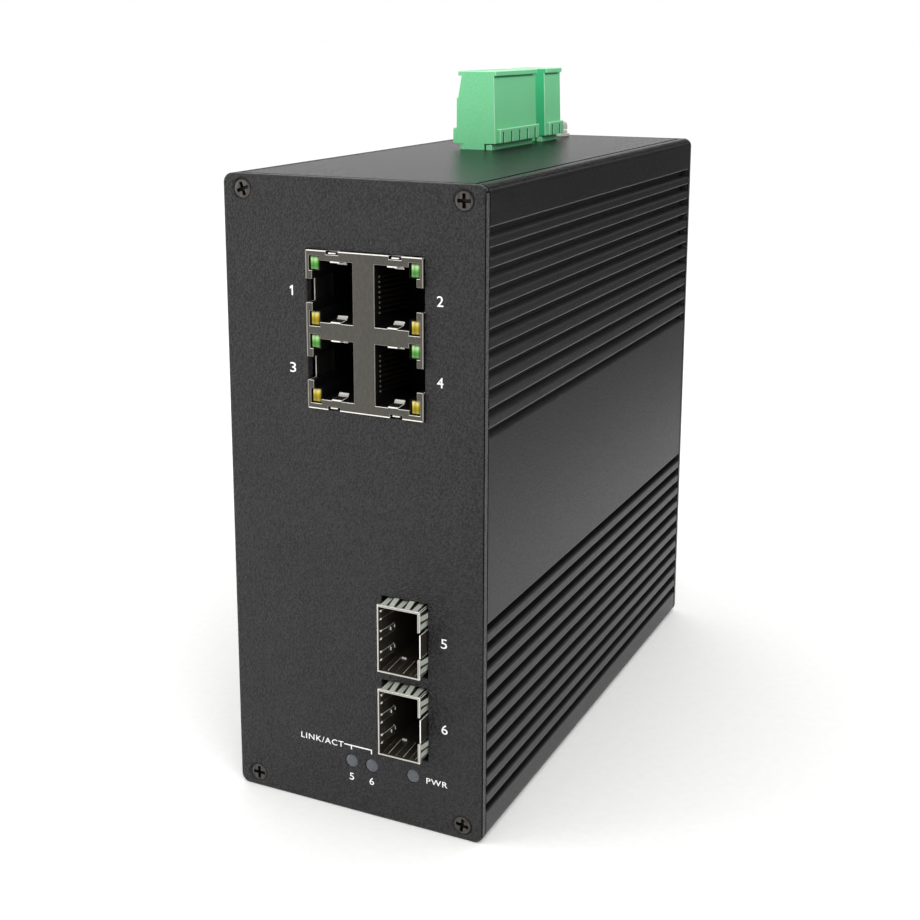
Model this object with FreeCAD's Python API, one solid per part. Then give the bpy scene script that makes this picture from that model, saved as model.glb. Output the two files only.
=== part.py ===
import FreeCAD, Part
import math
import os

# Rail-mounted ethernet switch, in millimetres.
# +X is to the right of someone facing the sockets, +Y runs to the rear, +Z is up.
# The origin is the middle of the bottom face.

V = FreeCAD.Vector
X_AXIS = V(1, 0, 0)
Y_AXIS = V(0, 1, 0)
Z_AXIS = V(0, 0, 1)

# Flat sides of small turned pieces: seen on the outside, and hidden
FINE = 12
COARSE = 8

# How far a cutting shape runs past the face it opens, and what counts as lying on a plane
PAST = 1.0
NEAR = 0.01

# Case
CASE_WIDTH = 58.2
CASE_HEIGHT = 134.0
CASE_DEPTH = 133.6
PANEL_THICKNESS = 1.8
CORNER_RADIUS = 2.0
PANEL_CHAMFER = 0.3
RIGHT = CASE_WIDTH / 2
FRONT = -CASE_DEPTH / 2
REAR = CASE_DEPTH / 2
BODY = (FRONT + PANEL_THICKNESS, REAR - PANEL_THICKNESS)

# Finned side walls
WALL_THICKNESS = 5.2
WALL_INSIDE = RIGHT - WALL_THICKNESS
GROOVES_PER_GROUP = 11
FIN_PITCH = 3.9
GROOVE_WIDTH = 1.75
GROOVE_DEPTH = 2.2
GROOVE_CHAMFER = 0.25
LOWEST_GROOVES = (7.0, 86.0)

# Top and bottom covers, tongued into the side walls
COVER_THICKNESS = 2.2
COVER_UNDERSIDE = CASE_HEIGHT - COVER_THICKNESS
SEAM_FROM_SIDE = 2.8
SEAM_GAP = 0.1
TONGUE_WIDTH = 1.2
TONGUE_THICKNESS = 1.0
WALL_LIP = RIGHT - SEAM_FROM_SIDE
PORT_RADIUS = 2.4
PORT_BORE = 1.05
PORT_ROOM = 0.1

# Ribs that guide the boards
RIB_THICKNESS = 1.45
RIB_HEIGHT = 2.0
RIB_ROOM = 0.05

# Countersunk panel screws
SCREW_X = 24.6
SCREW_EDGE = 3.0
SCREW_HEAD = 2.4
SCREW_SHANK = 1.05
SCREW_LENGTH = 9.0

# Stacked block of network sockets, where u is a distance in from the block's outer edge
JACK_X = (-9.7, 16.3)
JACK_Z = (87.5, 119.7)
JACK_PROUD = 0.5
JACK_DEPTH = 28.0
JACK_FRONT = FRONT - JACK_PROUD
JACK_ROOM = 0.1
JACK_FEET_Y = (-60.0, -46.0)
JACK_FOOT = 3.0
JACK_FOOT_INSET = 2.0
SHEET = 0.3
PORT_PITCH = 15.8
TOP_PORT = JACK_Z[1] - 8.2
PORT_ROWS = (TOP_PORT, TOP_PORT - PORT_PITCH)
WINDOW = (3.1, 10.6)
WINDOW_HALF = 6.2
CAVITY_DEPTH = 15.0
LAMP_U = (0.7, 2.9)
LAMP_V = (4.1, 7.1)
LAMP_DEPTH = 6.5
LAMP_SETBACK = 0.15
LAMP_CHAMFER = 0.3
LATCH_U = 1.4
LATCH_HALF = 4.1
NOTCH_HALF = 2.4
NOTCH_DEPTH = 8.0
SHIELD_NOTCH_DEPTH = 3.0
SHIELD_FRAME = (6.0, 2.0)
EDGE_SLOT_U = 4.6
EDGE_SLOT_WIDTH = 2.8
EDGE_SLOT_DEPTH = 1.2
EDGE_SLOT_HEIGHT = 0.75
FINGER_U = 6.65
FINGER_HALF = 1.15
FINGER_GAUGE = 0.25
FINGER_BEND = (2.5, 0.15)
FINGER_TIP = (3.1, 0.85)
CONTACTS = 8
CONTACT_PITCH = 1.02
CONTACT_WIDTH = 0.4
CONTACT_GAUGE = 0.3
CONTACT_START = 1.6
CONTACT_FLAT = 1.2
CONTACT_RUN = 9.0
CONTACT_RISE = 2.3

# Cages for pluggable optical modules
CAGE_X = (7.0, 16.3)
CAGE_HALF = 7.1
CAGE_CENTRES = {"5": 41.8, "6": 23.5}
CAGE_SHEET = 0.25
CAGE_PROUD = 3.0
CAGE_DEPTH = 49.4
CAGE_FRONT = FRONT - CAGE_PROUD
CAGE_REAR = CAGE_FRONT + CAGE_DEPTH
CAGE_OPEN_FLOOR = (CAGE_REAR - 13.0, CAGE_REAR - 2.0)
CAGE_FEET_Y = (CAGE_FRONT + 20.0, CAGE_REAR - 8.0)
CAGE_FOOT_WIDTH = 1.2
CUTOUT_X = (6.4, 16.9)
CUTOUT_HALF = 8.0
LATCH_TONGUE_HALF = 2.5
LATCH_SLIT = 0.4
LATCH_LENGTH = 12.0
LATCH_FLAT = 2.0
LATCH_ROOT = 0.2
LATCH_SPRUNG = 0.45
CONNECTOR_X = 10.0
CONNECTOR_Y = (CAGE_REAR - 12.0, CAGE_REAR - 2.5)
CONNECTOR_HALF = 6.4
CARD_SLOT_X = (11.8, 13.3)
CARD_SLOT_HALF = 5.4
CARD_SLOT_DEPTH = 6.0
CHIN_X = 14.6
CHIN_DEPTH = 2.0
SPRING_SHEET = 0.15
SPRING_BAND = (CAGE_FRONT + 0.2, CAGE_FRONT + 0.7)
SPRING_CREST = FRONT + PANEL_THICKNESS / 2
SPRING_CREST_HALF = 0.8
SPRING_TAIL = FRONT + 4.0
SPRING_TAIL_LIFT = 0.05
SPRING_INSET = 0.5
SPRING_PITCH = 1.75
SPRING_WIDTH = 1.25
SPRING_LOW = 0.55

# Indicator lamps under the cages
INDICATORS = {"5": -1.1, "6": 3.7, "power": 13.4}
INDICATOR_Z = 11.4
INDICATOR_RADIUS = 1.45
INDICATOR_HOLE = 1.5
INDICATOR_TIP = FRONT - 0.1
INDICATOR_DOME = ((0, 0.6), (0.12, 1.1), (0.5, INDICATOR_RADIUS))
INDICATOR_FLANGE = 1.85
INDICATOR_FLANGE_Y = (-61.8, -60.8)
LEAD_SIDE = 0.5
LEAD_SPREAD = 0.9
LEAD_REACH = 2.0
LEAD_ROOT = 0.3
LAMP_BOARD_X = -4.0
LAMP_BOARD_Y = (-60.0, -46.0)
LAMP_BOARD_TOP = 8.0

# Circuit boards and their larger components
BOARD_THICKNESS = 1.6
MAIN_BOARD_X = (16.9, 18.5)
MAIN_BOARD_Y = (-63.0, 60.0)
MAIN_BOARD_Z = (COVER_THICKNESS, COVER_UNDERSIDE - 0.1)
POWER_BOARD_X = (-23.8, 14.0)
POWER_BOARD_Y = (2.0, 56.0)
CHIP_MIDDLE = (7.0, 67.0)
CHIP_HALF = 11.5
CHIP_HEIGHT = 1.4
CHIP_CHAMFER = 0.4
PAD_HALF = 10.5
PAD_THICKNESS = 1.0
HEAT_BLOCK_HALF = 17.0
TRANSFORMER_HEIGHT = 6.0
TRANSFORMER_Y = (-34.0, -21.0)
TRANSFORMER_LENGTH = 14.0
TRANSFORMER_CHAMFER = 0.6
TRANSFORMER_LEVELS = (104.5, 88.5)
CAPACITOR_X = -15.0
CAPACITOR_YS = (20.0, 33.0)
CAPACITOR_RADIUS = 5.0
CAPACITOR_HEIGHT = 20.0
CAPACITOR_BASE = 4.6
CAPACITOR_NECK = 4.5
CAPACITOR_NECK_AT = (1.0, 2.2, 2.8, 3.4)
INDUCTOR_X = (-4.0, 8.0)
INDUCTOR_Y = (9.0, 21.0)
INDUCTOR_HEIGHT = 8.0
INDUCTOR_CHAMFER = 1.5
LINK_X = 11.0
LINK_Y = (20.0, 40.0)
LINK_DROP = 2.6
LINK_RISE = 2.0
LINK_ROOM = 0.4

# Pluggable screw terminals on the top
POLE_PITCH = 5.0
TERMINALS = {"power": (5, 7.7), "alarm": (2, 39.6)}
PLUG_END = 0.5
PLUG_HEIGHT = 18.6
PLUG_SHOULDER = 1.2
PLUG_LIP = 1.1
PLUG_NECK = 0.9
PLUG_SLOPE_FOOT = 12.4
PLUG_STEP = (0.4, 12.2)
PLUG_FOOT = (1.3, 5.1)
PLUG_UNDERCUT = (1.1, 0.4)
PLUG_DRAFT = 0.5
COMB_PROUD = 0.8
COMB_BITE = 0.6
COMB_INSET = (1.2, 0.1)
COMB_Z = (0.1, 3.7)
COMB_SLOT = (-0.15, 0.75)
COMB_SLOT_FLOOR = 0.1
COMB_SLOT_TOP = 3.0
PLUG_X = (-12.0, -2.1)
TONGUE_X = (-10.5, -5.0)
SOCKET_DEPTH = 8.5
HEADER_X = (-11.5, -3.1)
HEADER_WALLS = (0.9, 1.5)
HEADER_ROOM = 0.2
HEADER_HEIGHT = 12.0
HEADER_KEY_HALF = 0.9
HEADER_KEY_DEPTH = 1.2
PLUG_ROOM = 0.1
HEADER_RIM = CASE_HEIGHT + PLUG_SHOULDER
POWER_BOARD_TOP = HEADER_RIM - HEADER_HEIGHT
PIN_X = -7.2
PIN_SIDE = 1.0
PIN_TOP = CASE_HEIGHT - 0.6
PIN_TAIL = 1.4
PIN_ROOM = 0.1
PIN_HEADROOM = 0.2
PIN_SOCKET_DEPTH = 9.0
WIRE_X = (-7.3, -3.3)
WIRE_HALF = 1.85
WIRE_FLOOR = CASE_HEIGHT + 10.0
CLAMP_WALL = 0.6
CLAMP_ROOM = 0.05
CLAMP_HEIGHT = 7.0
CLAMP_SCREW_Z = CASE_HEIGHT + 14.6
CLAMP_SCREW_HOLE = 1.8
CLAMP_SCREW_HEAD = 1.65
CLAMP_SCREW_SHANK = 1.1
CLAMP_SCREW_SEAT = PLUG_X[0] + 0.9
CLAMP_SCREW_HEIGHT = 1.5
CLAMP_SCREW_END = WIRE_X[0] + 1.0
CLAMP_SLOT_DEPTH = 0.7
CLAMP_SLOT_HALF = 0.3

# Earth screw behind the terminals
EARTH_X = -7.0
EARTH_Y = 60.6
EARTH_HOLE = 1.5
EARTH_WASHER = 0.8
EARTH_WASHER_RADIUS = 3.5
EARTH_SPRING_WASHER = 0.9
EARTH_SPRING_RADIUS = 2.9
EARTH_SPLIT = 0.5
EARTH_HEAD = ((2.4, 1.3), (2.1, 2.1), (1.2, 2.8), (0, 2.9))
EARTH_SCREW_REACH = 6.5
EARTH_CROSS = (1.6, 0.35)
EARTH_CROSS_FLOOR = 1.2

# Rail clip on the rear panel
CLIP_WIDTH = 36.0
CLIP_BASE = 3.2
CLIP_GAP = 1.8
CLIP_LIP = 2.6
CLIP_BLOCK = 4.0
CLIP_EASE = (1.6, 0.8)
CLIP_ROOTS = (48.5, 87.0)
CLIP_OVERLAP = (2.5, 5.5)
CLIP_FACE = REAR + CLIP_BASE
CLIP_HOLES = ((-11.0, 75.0), (11.0, 75.0), (0.0, 57.0))
CLIP_SCREW_HEAD = 2.9
CLIP_SCREW_SHANK = 1.5
CLIP_SCREW_LENGTH = 7.0
LEAF_HALF = 14.0
LEAF_BOW = 2.6
LEAF_GAUGE = 0.5
LEAF_END = 1.2
LEAF_ROOM = 0.2


def block(x, y, z):
    """Box between the low and high values of each axis."""
    return Part.makeBox(x[1] - x[0], y[1] - y[0], z[1] - z[0], V(x[0], y[0], z[0]))


def flat(points):
    """Plane face with straight sides."""
    return Part.Face(Part.makePolygon(points + points[:1]))


def prism(points, run):
    """Closed polygon of points, extruded by a vector."""
    return flat(points).extrude(run)


def along_x(outline, x):
    """(y, z) outline extruded between two values of x."""
    return prism([V(x[0], y, z) for y, z in outline], X_AXIS * (x[1] - x[0]))


def along_y(outline, y):
    """(x, z) outline extruded between two values of y."""
    return prism([V(x, y[0], z) for x, z in outline], Y_AXIS * (y[1] - y[0]))


def along_z(outline, z):
    """(x, y) outline extruded between two values of z."""
    return prism([V(x, y, z[0]) for x, y in outline], Z_AXIS * (z[1] - z[0]))


def turned(start, axis, profile, sides):
    """Small turned piece with flat sides, from (distance along the axis, radius) points."""
    across = Y_AXIS if abs(axis.x) > 0.5 else X_AXIS
    beside = axis.cross(across)
    turns = [2 * math.pi * (index + 0.5) / sides for index in range(sides)]
    spokes = [across * math.cos(turn) + beside * math.sin(turn) for turn in turns]
    rings = [[start + axis * along + spoke * radius for spoke in spokes] for along, radius in profile]
    faces = [flat(rings[0]), flat(rings[-1])]
    for low, high in zip(rings, rings[1:]):
        faces += [flat([low[turn - 1], low[turn], high[turn], high[turn - 1]]) for turn in range(sides)]
    solid = Part.Solid(Part.Shell(faces))
    return solid if solid.Volume > 0 else solid.reversed()


def rod(start, axis, radius, length, sides):
    """Plain turned rod, also used to drill."""
    return turned(start, axis, [(0, radius), (length, radius)], sides)


def countersunk(start, axis, head, shank, length, sides):
    """Flat-head screw whose head lies flush with the start point."""
    return turned(start, axis, [(0, head), (head - shank, shank), (length, shank)], sides)


def edges_on(shape, axis, level):
    """Edges whose middles lie on the plane at one level of an axis."""
    return [edge for edge in shape.Edges if abs(edge.CenterOfMass.dot(axis) - level) < NEAR]


def with_long_corners(shape):
    """Shape with the outer long edges of the case rounded."""
    return shape.makeFillet(CORNER_RADIUS, [edge for edge in shape.Edges if is_long_corner(edge)])


def is_long_corner(edge):
    """True for an outer long edge of the case."""
    at = edge.CenterOfMass
    at_side = abs(abs(at.x) - RIGHT) < NEAR
    at_level = min(abs(at.z), abs(at.z - CASE_HEIGHT)) < NEAR
    return at_side and at_level


def spread(middle, half):
    """Low and high ends of a span about its middle."""
    return middle - half, middle + half


def joined(first, others):
    """One solid from pieces that overlap or share faces."""
    return first.fuse(others).removeSplitter()


def mirrored_in_x(shape):
    """Shape for the opposite side of the case."""
    return shape.mirror(V(0, 0, 0), X_AXIS)


def save(name, *solids):
    """Writes the solids of one piece, or of one set of like pieces, to its file."""
    shape = solids[0] if len(solids) == 1 else Part.makeCompound(list(solids))
    shape.exportStep(f"parts/{name}.step")


def groove_outline():
    """Outer face of a side wall from bottom to top, with its chamfered grooves."""
    outline = []
    floor = RIGHT - GROOVE_DEPTH
    for lowest in LOWEST_GROOVES:
        for index in range(GROOVES_PER_GROUP):
            low = lowest + index * FIN_PITCH - GROOVE_WIDTH / 2
            high = low + GROOVE_WIDTH
            outline += [(RIGHT, low - GROOVE_CHAMFER), (RIGHT - GROOVE_CHAMFER, low), (floor, low)]
            outline += [(floor, high), (RIGHT - GROOVE_CHAMFER, high), (RIGHT, high + GROOVE_CHAMFER)]
    return outline


def wall_edge():
    """Inner outline of a wall's top edge, from the seam down to the full thickness."""
    slot = WALL_LIP + SEAM_GAP + TONGUE_WIDTH
    slot_roof = COVER_UNDERSIDE + TONGUE_THICKNESS + SEAM_GAP
    beside_port = SCREW_X + PORT_RADIUS + PORT_ROOM
    below_port = CASE_HEIGHT - SCREW_EDGE - PORT_RADIUS - PORT_ROOM
    return [
        (WALL_LIP, CASE_HEIGHT),
        (WALL_LIP, slot_roof),
        (slot, slot_roof),
        (slot, COVER_UNDERSIDE),
        (beside_port, COVER_UNDERSIDE),
        (beside_port, below_port),
        (WALL_INSIDE, below_port),
    ] + shelf_ribs()


def shelf_ribs():
    """Outline, going down, of the two ribs that hold an edge of the power board."""
    tip = WALL_INSIDE - RIB_HEIGHT
    underside = POWER_BOARD_TOP - BOARD_THICKNESS
    outline = []
    for low in (POWER_BOARD_TOP + RIB_ROOM, underside - RIB_THICKNESS):
        high = low + RIB_THICKNESS
        outline += [(WALL_INSIDE, high), (tip, high), (tip, low), (WALL_INSIDE, low)]
    return outline


def side_wall():
    """Right-hand extrusion: grooved outside, slotted for the covers top and bottom."""
    top_edge = wall_edge()
    bottom_edge = [(x, CASE_HEIGHT - z) for x, z in reversed(top_edge)]
    outer = [(RIGHT, 0)] + groove_outline() + [(RIGHT, CASE_HEIGHT)]
    wall = along_y(outer + top_edge + bottom_edge, BODY)
    return with_long_corners(wall)


def cover():
    """Top extrusion: a tongue on each side, two screw ports and the main board's ribs."""
    half = WALL_LIP - SEAM_GAP
    tongue = half + TONGUE_WIDTH
    tongue_top = COVER_UNDERSIDE + TONGUE_THICKNESS
    right = [(half, CASE_HEIGHT), (half, tongue_top), (tongue, tongue_top), (tongue, COVER_UNDERSIDE)]
    left = [(-x, z) for x, z in reversed(right)]
    shape = along_y(right + left, BODY)
    length = BODY[1] - BODY[0]
    starts = [V(side * SCREW_X, BODY[0], CASE_HEIGHT - SCREW_EDGE) for side in (-1, 1)]
    extras = [rod(start, Y_AXIS, PORT_RADIUS, length, COARSE) for start in starts]
    rib_z = (COVER_UNDERSIDE - RIB_HEIGHT, COVER_UNDERSIDE)
    for low in (MAIN_BOARD_X[0] - RIB_ROOM - RIB_THICKNESS, MAIN_BOARD_X[1] + RIB_ROOM):
        extras.append(block((low, low + RIB_THICKNESS), BODY, rib_z))
    return joined(shape, extras).cut([rod(start, Y_AXIS, PORT_BORE, length, FINE) for start in starts])


def top_cover():
    """Cover with the header cut-outs, each with room all round, and the earth hole."""
    through = (COVER_UNDERSIDE - PAST, CASE_HEIGHT + PAST)
    x = (HEADER_X[0] - HEADER_ROOM, HEADER_X[1] + HEADER_ROOM)
    cuts = [block(x, plug_span(name), through) for name in TERMINALS]
    hole_start = V(EARTH_X, EARTH_Y, through[0])
    cuts.append(rod(hole_start, Z_AXIS, EARTH_HOLE, through[1] - through[0], FINE))
    return cover().cut(cuts)


def bottom_cover():
    """The plain cover turned over."""
    return cover().mirror(V(0, 0, CASE_HEIGHT / 2), Z_AXIS)


def screw_places():
    """Corner positions of the panel screws."""
    levels = (SCREW_EDGE, CASE_HEIGHT - SCREW_EDGE)
    return [(side * SCREW_X, z) for side in (-1, 1) for z in levels]


def panel(face, inward):
    """Plate with rounded corners, a chamfered outer rim and countersunk corner holes."""
    ends = sorted((face, face + inward * PANEL_THICKNESS))
    plate = with_long_corners(block((-RIGHT, RIGHT), ends, (0, CASE_HEIGHT)))
    plate = plate.makeChamfer(PANEL_CHAMFER, edges_on(plate, Y_AXIS, face))
    axis = Y_AXIS * inward
    holes = [countersunk(V(x, face, z), axis, SCREW_HEAD, SCREW_SHANK, PANEL_THICKNESS, FINE)
             for x, z in screw_places()]
    return plate.cut(holes)


def front_panel():
    """Front plate with openings for the sockets, the cages and the indicators."""
    through = (FRONT - PAST, BODY[0] + PAST)
    jack_x = (JACK_X[0] - JACK_ROOM, JACK_X[1] + JACK_ROOM)
    jack_z = (JACK_Z[0] - JACK_ROOM, JACK_Z[1] + JACK_ROOM)
    cuts = [block(jack_x, through, jack_z)]
    for middle in CAGE_CENTRES.values():
        cuts.append(block(CUTOUT_X, through, spread(middle, CUTOUT_HALF)))
    for x in INDICATORS.values():
        start = V(x, through[0], INDICATOR_Z)
        cuts.append(rod(start, Y_AXIS, INDICATOR_HOLE, through[1] - through[0], FINE))
    return panel(FRONT, 1).cut(cuts)


def rear_panel():
    """Rear plate with the tapped holes that carry the rail clip."""
    starts = [V(x, BODY[1], z) for x, z in CLIP_HOLES]
    holes = [rod(start, Y_AXIS, CLIP_SCREW_SHANK, PANEL_THICKNESS, COARSE) for start in starts]
    return panel(REAR, -1).cut(holes)


def panel_screws():
    """Corner screws of both panels, run into the covers' ports."""
    screws = []
    for face, inward in ((FRONT, 1), (REAR, -1)):
        axis = Y_AXIS * inward
        screws += [countersunk(V(x, face, z), axis, SCREW_HEAD, SCREW_SHANK, SCREW_LENGTH, FINE)
                   for x, z in screw_places()]
    return screws


def socket_x(u, column):
    """x of a distance u in from the block's outer edge on one column's side."""
    return JACK_X[0] + u if column == 0 else JACK_X[1] - u


def socket_block(u, y, z, column):
    """Box given by distances in from the outer edge of a column of sockets."""
    return block(sorted(socket_x(value, column) for value in u), y, z)


def sockets():
    """Column and middle height of each socket: 1 and 2 above, 3 and 4 below."""
    return [(column, middle) for middle in PORT_ROWS for column in (0, 1)]


def lamp_spans(middle):
    """Heights of a socket's two lamps: link above, activity below."""
    link = (middle + LAMP_V[0], middle + LAMP_V[1])
    activity = (middle - LAMP_V[1], middle - LAMP_V[0])
    return link, activity


def shield_window(column, middle):
    """Cuts for one socket: plug window, lamp corners, latch step and side notch."""
    through = (JACK_FRONT - PAST, JACK_FRONT + SHEET + NEAR)
    side = (JACK_FRONT - PAST, JACK_FRONT + SHIELD_NOTCH_DEPTH)
    lamps = (LAMP_U[0], WINDOW[0])
    cuts = [socket_block(WINDOW, through, spread(middle, WINDOW_HALF), column)]
    cuts += [socket_block(lamps, through, span, column) for span in lamp_spans(middle)]
    cuts.append(socket_block((LATCH_U, WINDOW[0]), through, spread(middle, LATCH_HALF), column))
    cuts.append(socket_block((-PAST, LATCH_U), side, spread(middle, NOTCH_HALF), column))
    return cuts


def shield_finger(column, edge, inward):
    """Spring bent into a socket from its window edge, to touch the plug's shell."""
    bends = [FINGER_BEND, FINGER_TIP]
    path = [(0, 0), (0, FINGER_GAUGE)] + [(back, reach + FINGER_GAUGE) for back, reach in bends]
    path += bends[::-1] + [(SHEET, 0)]
    outline = [(JACK_FRONT + back, edge + inward * reach) for back, reach in path]
    x = sorted(socket_x(u, column) for u in spread(FINGER_U, FINGER_HALF))
    return along_x(outline, x)


def jack_shield():
    """Folded sheet round the socket block, with windows, springs and edge slots."""
    y = (JACK_FRONT, JACK_FRONT + JACK_DEPTH)
    inner_x = (JACK_X[0] + SHEET, JACK_X[1] - SHEET)
    inner_z = (JACK_Z[0] + SHEET, JACK_Z[1] - SHEET)
    shape = block(JACK_X, y, JACK_Z)
    cuts = [block(inner_x, (y[0] + SHEET, y[1] - SHEET), inner_z)]
    open_side = (y[0] + SHIELD_FRAME[0], y[1] - SHIELD_FRAME[1])
    cuts.append(block((inner_x[1] - PAST, JACK_X[1] + PAST), open_side, inner_z))
    slot_y = (y[0] - PAST, y[0] + EDGE_SLOT_DEPTH)
    fingers = []
    for column, middle in sockets():
        cuts += shield_window(column, middle)
        fingers.append(shield_finger(column, middle + WINDOW_HALF, -1))
        fingers.append(shield_finger(column, middle - WINDOW_HALF, 1))
    for column in (0, 1):
        slot_u = (EDGE_SLOT_U, EDGE_SLOT_U + EDGE_SLOT_WIDTH)
        cuts += [socket_block(slot_u, slot_y, spread(z, EDGE_SLOT_HEIGHT), column) for z in JACK_Z]
    return joined(shape.cut(cuts), fingers)


def jack_housing():
    """Moulded insert: a plug cavity, latch channel and lamp pockets for each socket."""
    front = JACK_FRONT + SHEET
    x = (JACK_X[0] + SHEET, JACK_X[1] - SHEET)
    z = (JACK_Z[0] + SHEET, JACK_Z[1] - SHEET)
    shape = block(x, (front, JACK_FRONT + JACK_DEPTH - SHEET), z)
    cavity = (front - PAST, front + CAVITY_DEPTH)
    notch = (front - PAST, front + NOTCH_DEPTH)
    pocket = (front - PAST, front + LAMP_DEPTH)
    cuts = []
    for column, middle in sockets():
        step = spread(middle, LATCH_HALF - JACK_ROOM)
        cuts.append(socket_block(WINDOW, cavity, spread(middle, WINDOW_HALF), column))
        cuts.append(socket_block((LATCH_U, WINDOW[0]), cavity, step, column))
        cuts.append(socket_block((-PAST, LATCH_U), notch, spread(middle, NOTCH_HALF), column))
        cuts += [socket_block(LAMP_U, pocket, span, column) for span in lamp_spans(middle)]
    foot_x = (x[1] - PAST, MAIN_BOARD_X[0])
    feet = [block(foot_x, (y, y + JACK_FOOT), (level, level + JACK_FOOT)) for y in JACK_FEET_Y
            for level in (z[0] + JACK_FOOT_INSET, z[1] - JACK_FOOT_INSET - JACK_FOOT)]
    return joined(shape.cut(cuts), feet)


def jack_contacts(column, middle):
    """Row of sprung contacts rising from a cavity's inner wall towards the back."""
    start = JACK_FRONT + SHEET + CONTACT_START
    bend = start + CONTACT_FLAT
    tip = bend + CONTACT_RUN
    path = [(start, 0), (bend, 0), (tip, CONTACT_RISE), (tip, CONTACT_RISE + CONTACT_GAUGE)]
    path += [(bend, CONTACT_GAUGE), (start, CONTACT_GAUGE)]
    outline = [(socket_x(WINDOW[1] - rise, column), y) for y, rise in path]
    first = middle - (CONTACTS - 1) / 2 * CONTACT_PITCH
    middles = [first + index * CONTACT_PITCH for index in range(CONTACTS)]
    return [along_z(outline, spread(contact, CONTACT_WIDTH / 2)) for contact in middles]


def jack_lamp(column, span):
    """Lens of one socket lamp, a bar with a softened front that fills its pocket."""
    front = JACK_FRONT + LAMP_SETBACK
    lens = socket_block(LAMP_U, (front, JACK_FRONT + SHEET + LAMP_DEPTH), span, column)
    return lens.makeChamfer(LAMP_CHAMFER, edges_on(lens, Y_AXIS, front))


def sfp_cage(middle):
    """Folded cage, open at the mouth, with a sprung latch tongue on the board side."""
    z = spread(middle, CAGE_HALF)
    y = (CAGE_FRONT, CAGE_REAR)
    inner_x = (CAGE_X[0] + CAGE_SHEET, CAGE_X[1] - CAGE_SHEET)
    inner_z = spread(middle, CAGE_HALF - CAGE_SHEET)
    shape = block(CAGE_X, y, z)
    shape = shape.makeChamfer(CAGE_SHEET, edges_on(shape, Y_AXIS, (CAGE_FRONT + CAGE_REAR) / 2))
    board_side = (inner_x[1] - PAST, CAGE_X[1] + PAST)
    gap = spread(middle, LATCH_TONGUE_HALF + LATCH_SLIT)
    cuts = [block(inner_x, (y[0] - PAST, y[1] - CAGE_SHEET), inner_z)]
    cuts.append(block(board_side, (y[0] - PAST, y[0] + LATCH_LENGTH), gap))
    cuts.append(block(board_side, CAGE_OPEN_FLOOR, inner_z))
    foot_x = (CAGE_X[1] - PAST, MAIN_BOARD_X[0])
    extras = [latch_tongue(inner_x[1], middle)]
    for foot in CAGE_FEET_Y:
        foot_y = (foot, foot + CAGE_FOOT_WIDTH)
        extras += [block(foot_x, foot_y, (low, low + CAGE_SHEET)) for low in (z[0], inner_z[1])]
    return joined(shape.cut(cuts), extras)


def latch_tongue(inside, middle):
    """Tongue cut free in a cage's floor, sprung out towards its tip to take a module's latch."""
    root = CAGE_FRONT + LATCH_LENGTH + LATCH_ROOT
    outside = inside + CAGE_SHEET
    path = [(0, root), (LATCH_SPRUNG, CAGE_FRONT + LATCH_FLAT), (LATCH_SPRUNG, CAGE_FRONT)]
    outline = [(outside + sprung, y) for sprung, y in path]
    outline += [(inside + sprung, y) for sprung, y in reversed(path)]
    return along_z(outline, spread(middle, LATCH_TONGUE_HALF))


def spring_profile(surface, outward, reach, crest_half):
    """Outline of one bowed finger, from its band over the panel edge and back."""
    gauge = outward * SPRING_SHEET
    crest = surface + outward * reach
    tail = surface + outward * SPRING_TAIL_LIFT
    ridge = sorted(set(spread(SPRING_CREST, crest_half)))
    outer = [(SPRING_BAND[1], surface + gauge)] + [(y, crest) for y in ridge]
    inner = [(y, crest - gauge) for y in reversed(ridge)] + [(SPRING_BAND[1], surface)]
    return outer + [(SPRING_TAIL, tail + gauge), (SPRING_TAIL, tail)] + inner


def finger_starts(low, high):
    """Evenly spaced finger positions along one side of a cage."""
    count = int((high - low + SPRING_PITCH - SPRING_WIDTH) / SPRING_PITCH)
    first = (low + high - (count - 1) * SPRING_PITCH - SPRING_WIDTH) / 2
    return [first + index * SPRING_PITCH for index in range(count)]


def finger_row(surface, outward, reach, ends):
    """Outline and run of each finger along one side of a cage, low and touching by turns."""
    row = []
    for index, low in enumerate(finger_starts(*ends)):
        touching = index % 2 == 1
        crest = (reach, SPRING_CREST_HALF) if touching else (reach * SPRING_LOW, 0)
        row.append((spring_profile(surface, outward, *crest), (low, low + SPRING_WIDTH)))
    return row


def sfp_springs(middle):
    """Collar of earthing fingers between a cage and the edge of its cut-out."""
    z = spread(middle, CAGE_HALF)
    gap = spread(middle, LATCH_TONGUE_HALF + LATCH_SLIT)
    band_x = (CAGE_X[0] - SPRING_SHEET, CAGE_X[1] + SPRING_SHEET)
    band = block(band_x, SPRING_BAND, spread(middle, CAGE_HALF + SPRING_SHEET))
    band = band.cut(block(CAGE_X, SPRING_BAND, z))
    band = band.cut(block((CAGE_X[1] - PAST, band_x[1] + PAST), SPRING_BAND, gap))
    ends_x = (CAGE_X[0] + SPRING_INSET, CAGE_X[1] - SPRING_INSET)
    ends_z = (z[0] + SPRING_INSET, z[1] - SPRING_INSET)
    level = CUTOUT_HALF - CAGE_HALF
    right = (CAGE_X[1], 1, CUTOUT_X[1] - CAGE_X[1])
    flat_rows = finger_row(z[1], 1, level, ends_x) + finger_row(z[0], -1, level, ends_x)
    upright_rows = finger_row(CAGE_X[0], -1, CAGE_X[0] - CUTOUT_X[0], ends_z)
    upright_rows += finger_row(*right, (ends_z[0], gap[0])) + finger_row(*right, (gap[1], ends_z[1]))
    fingers = [along_x(outline, run) for outline, run in flat_rows]
    fingers += [along_z([(x, y) for y, x in outline], run) for outline, run in upright_rows]
    return joined(band, fingers)


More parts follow.
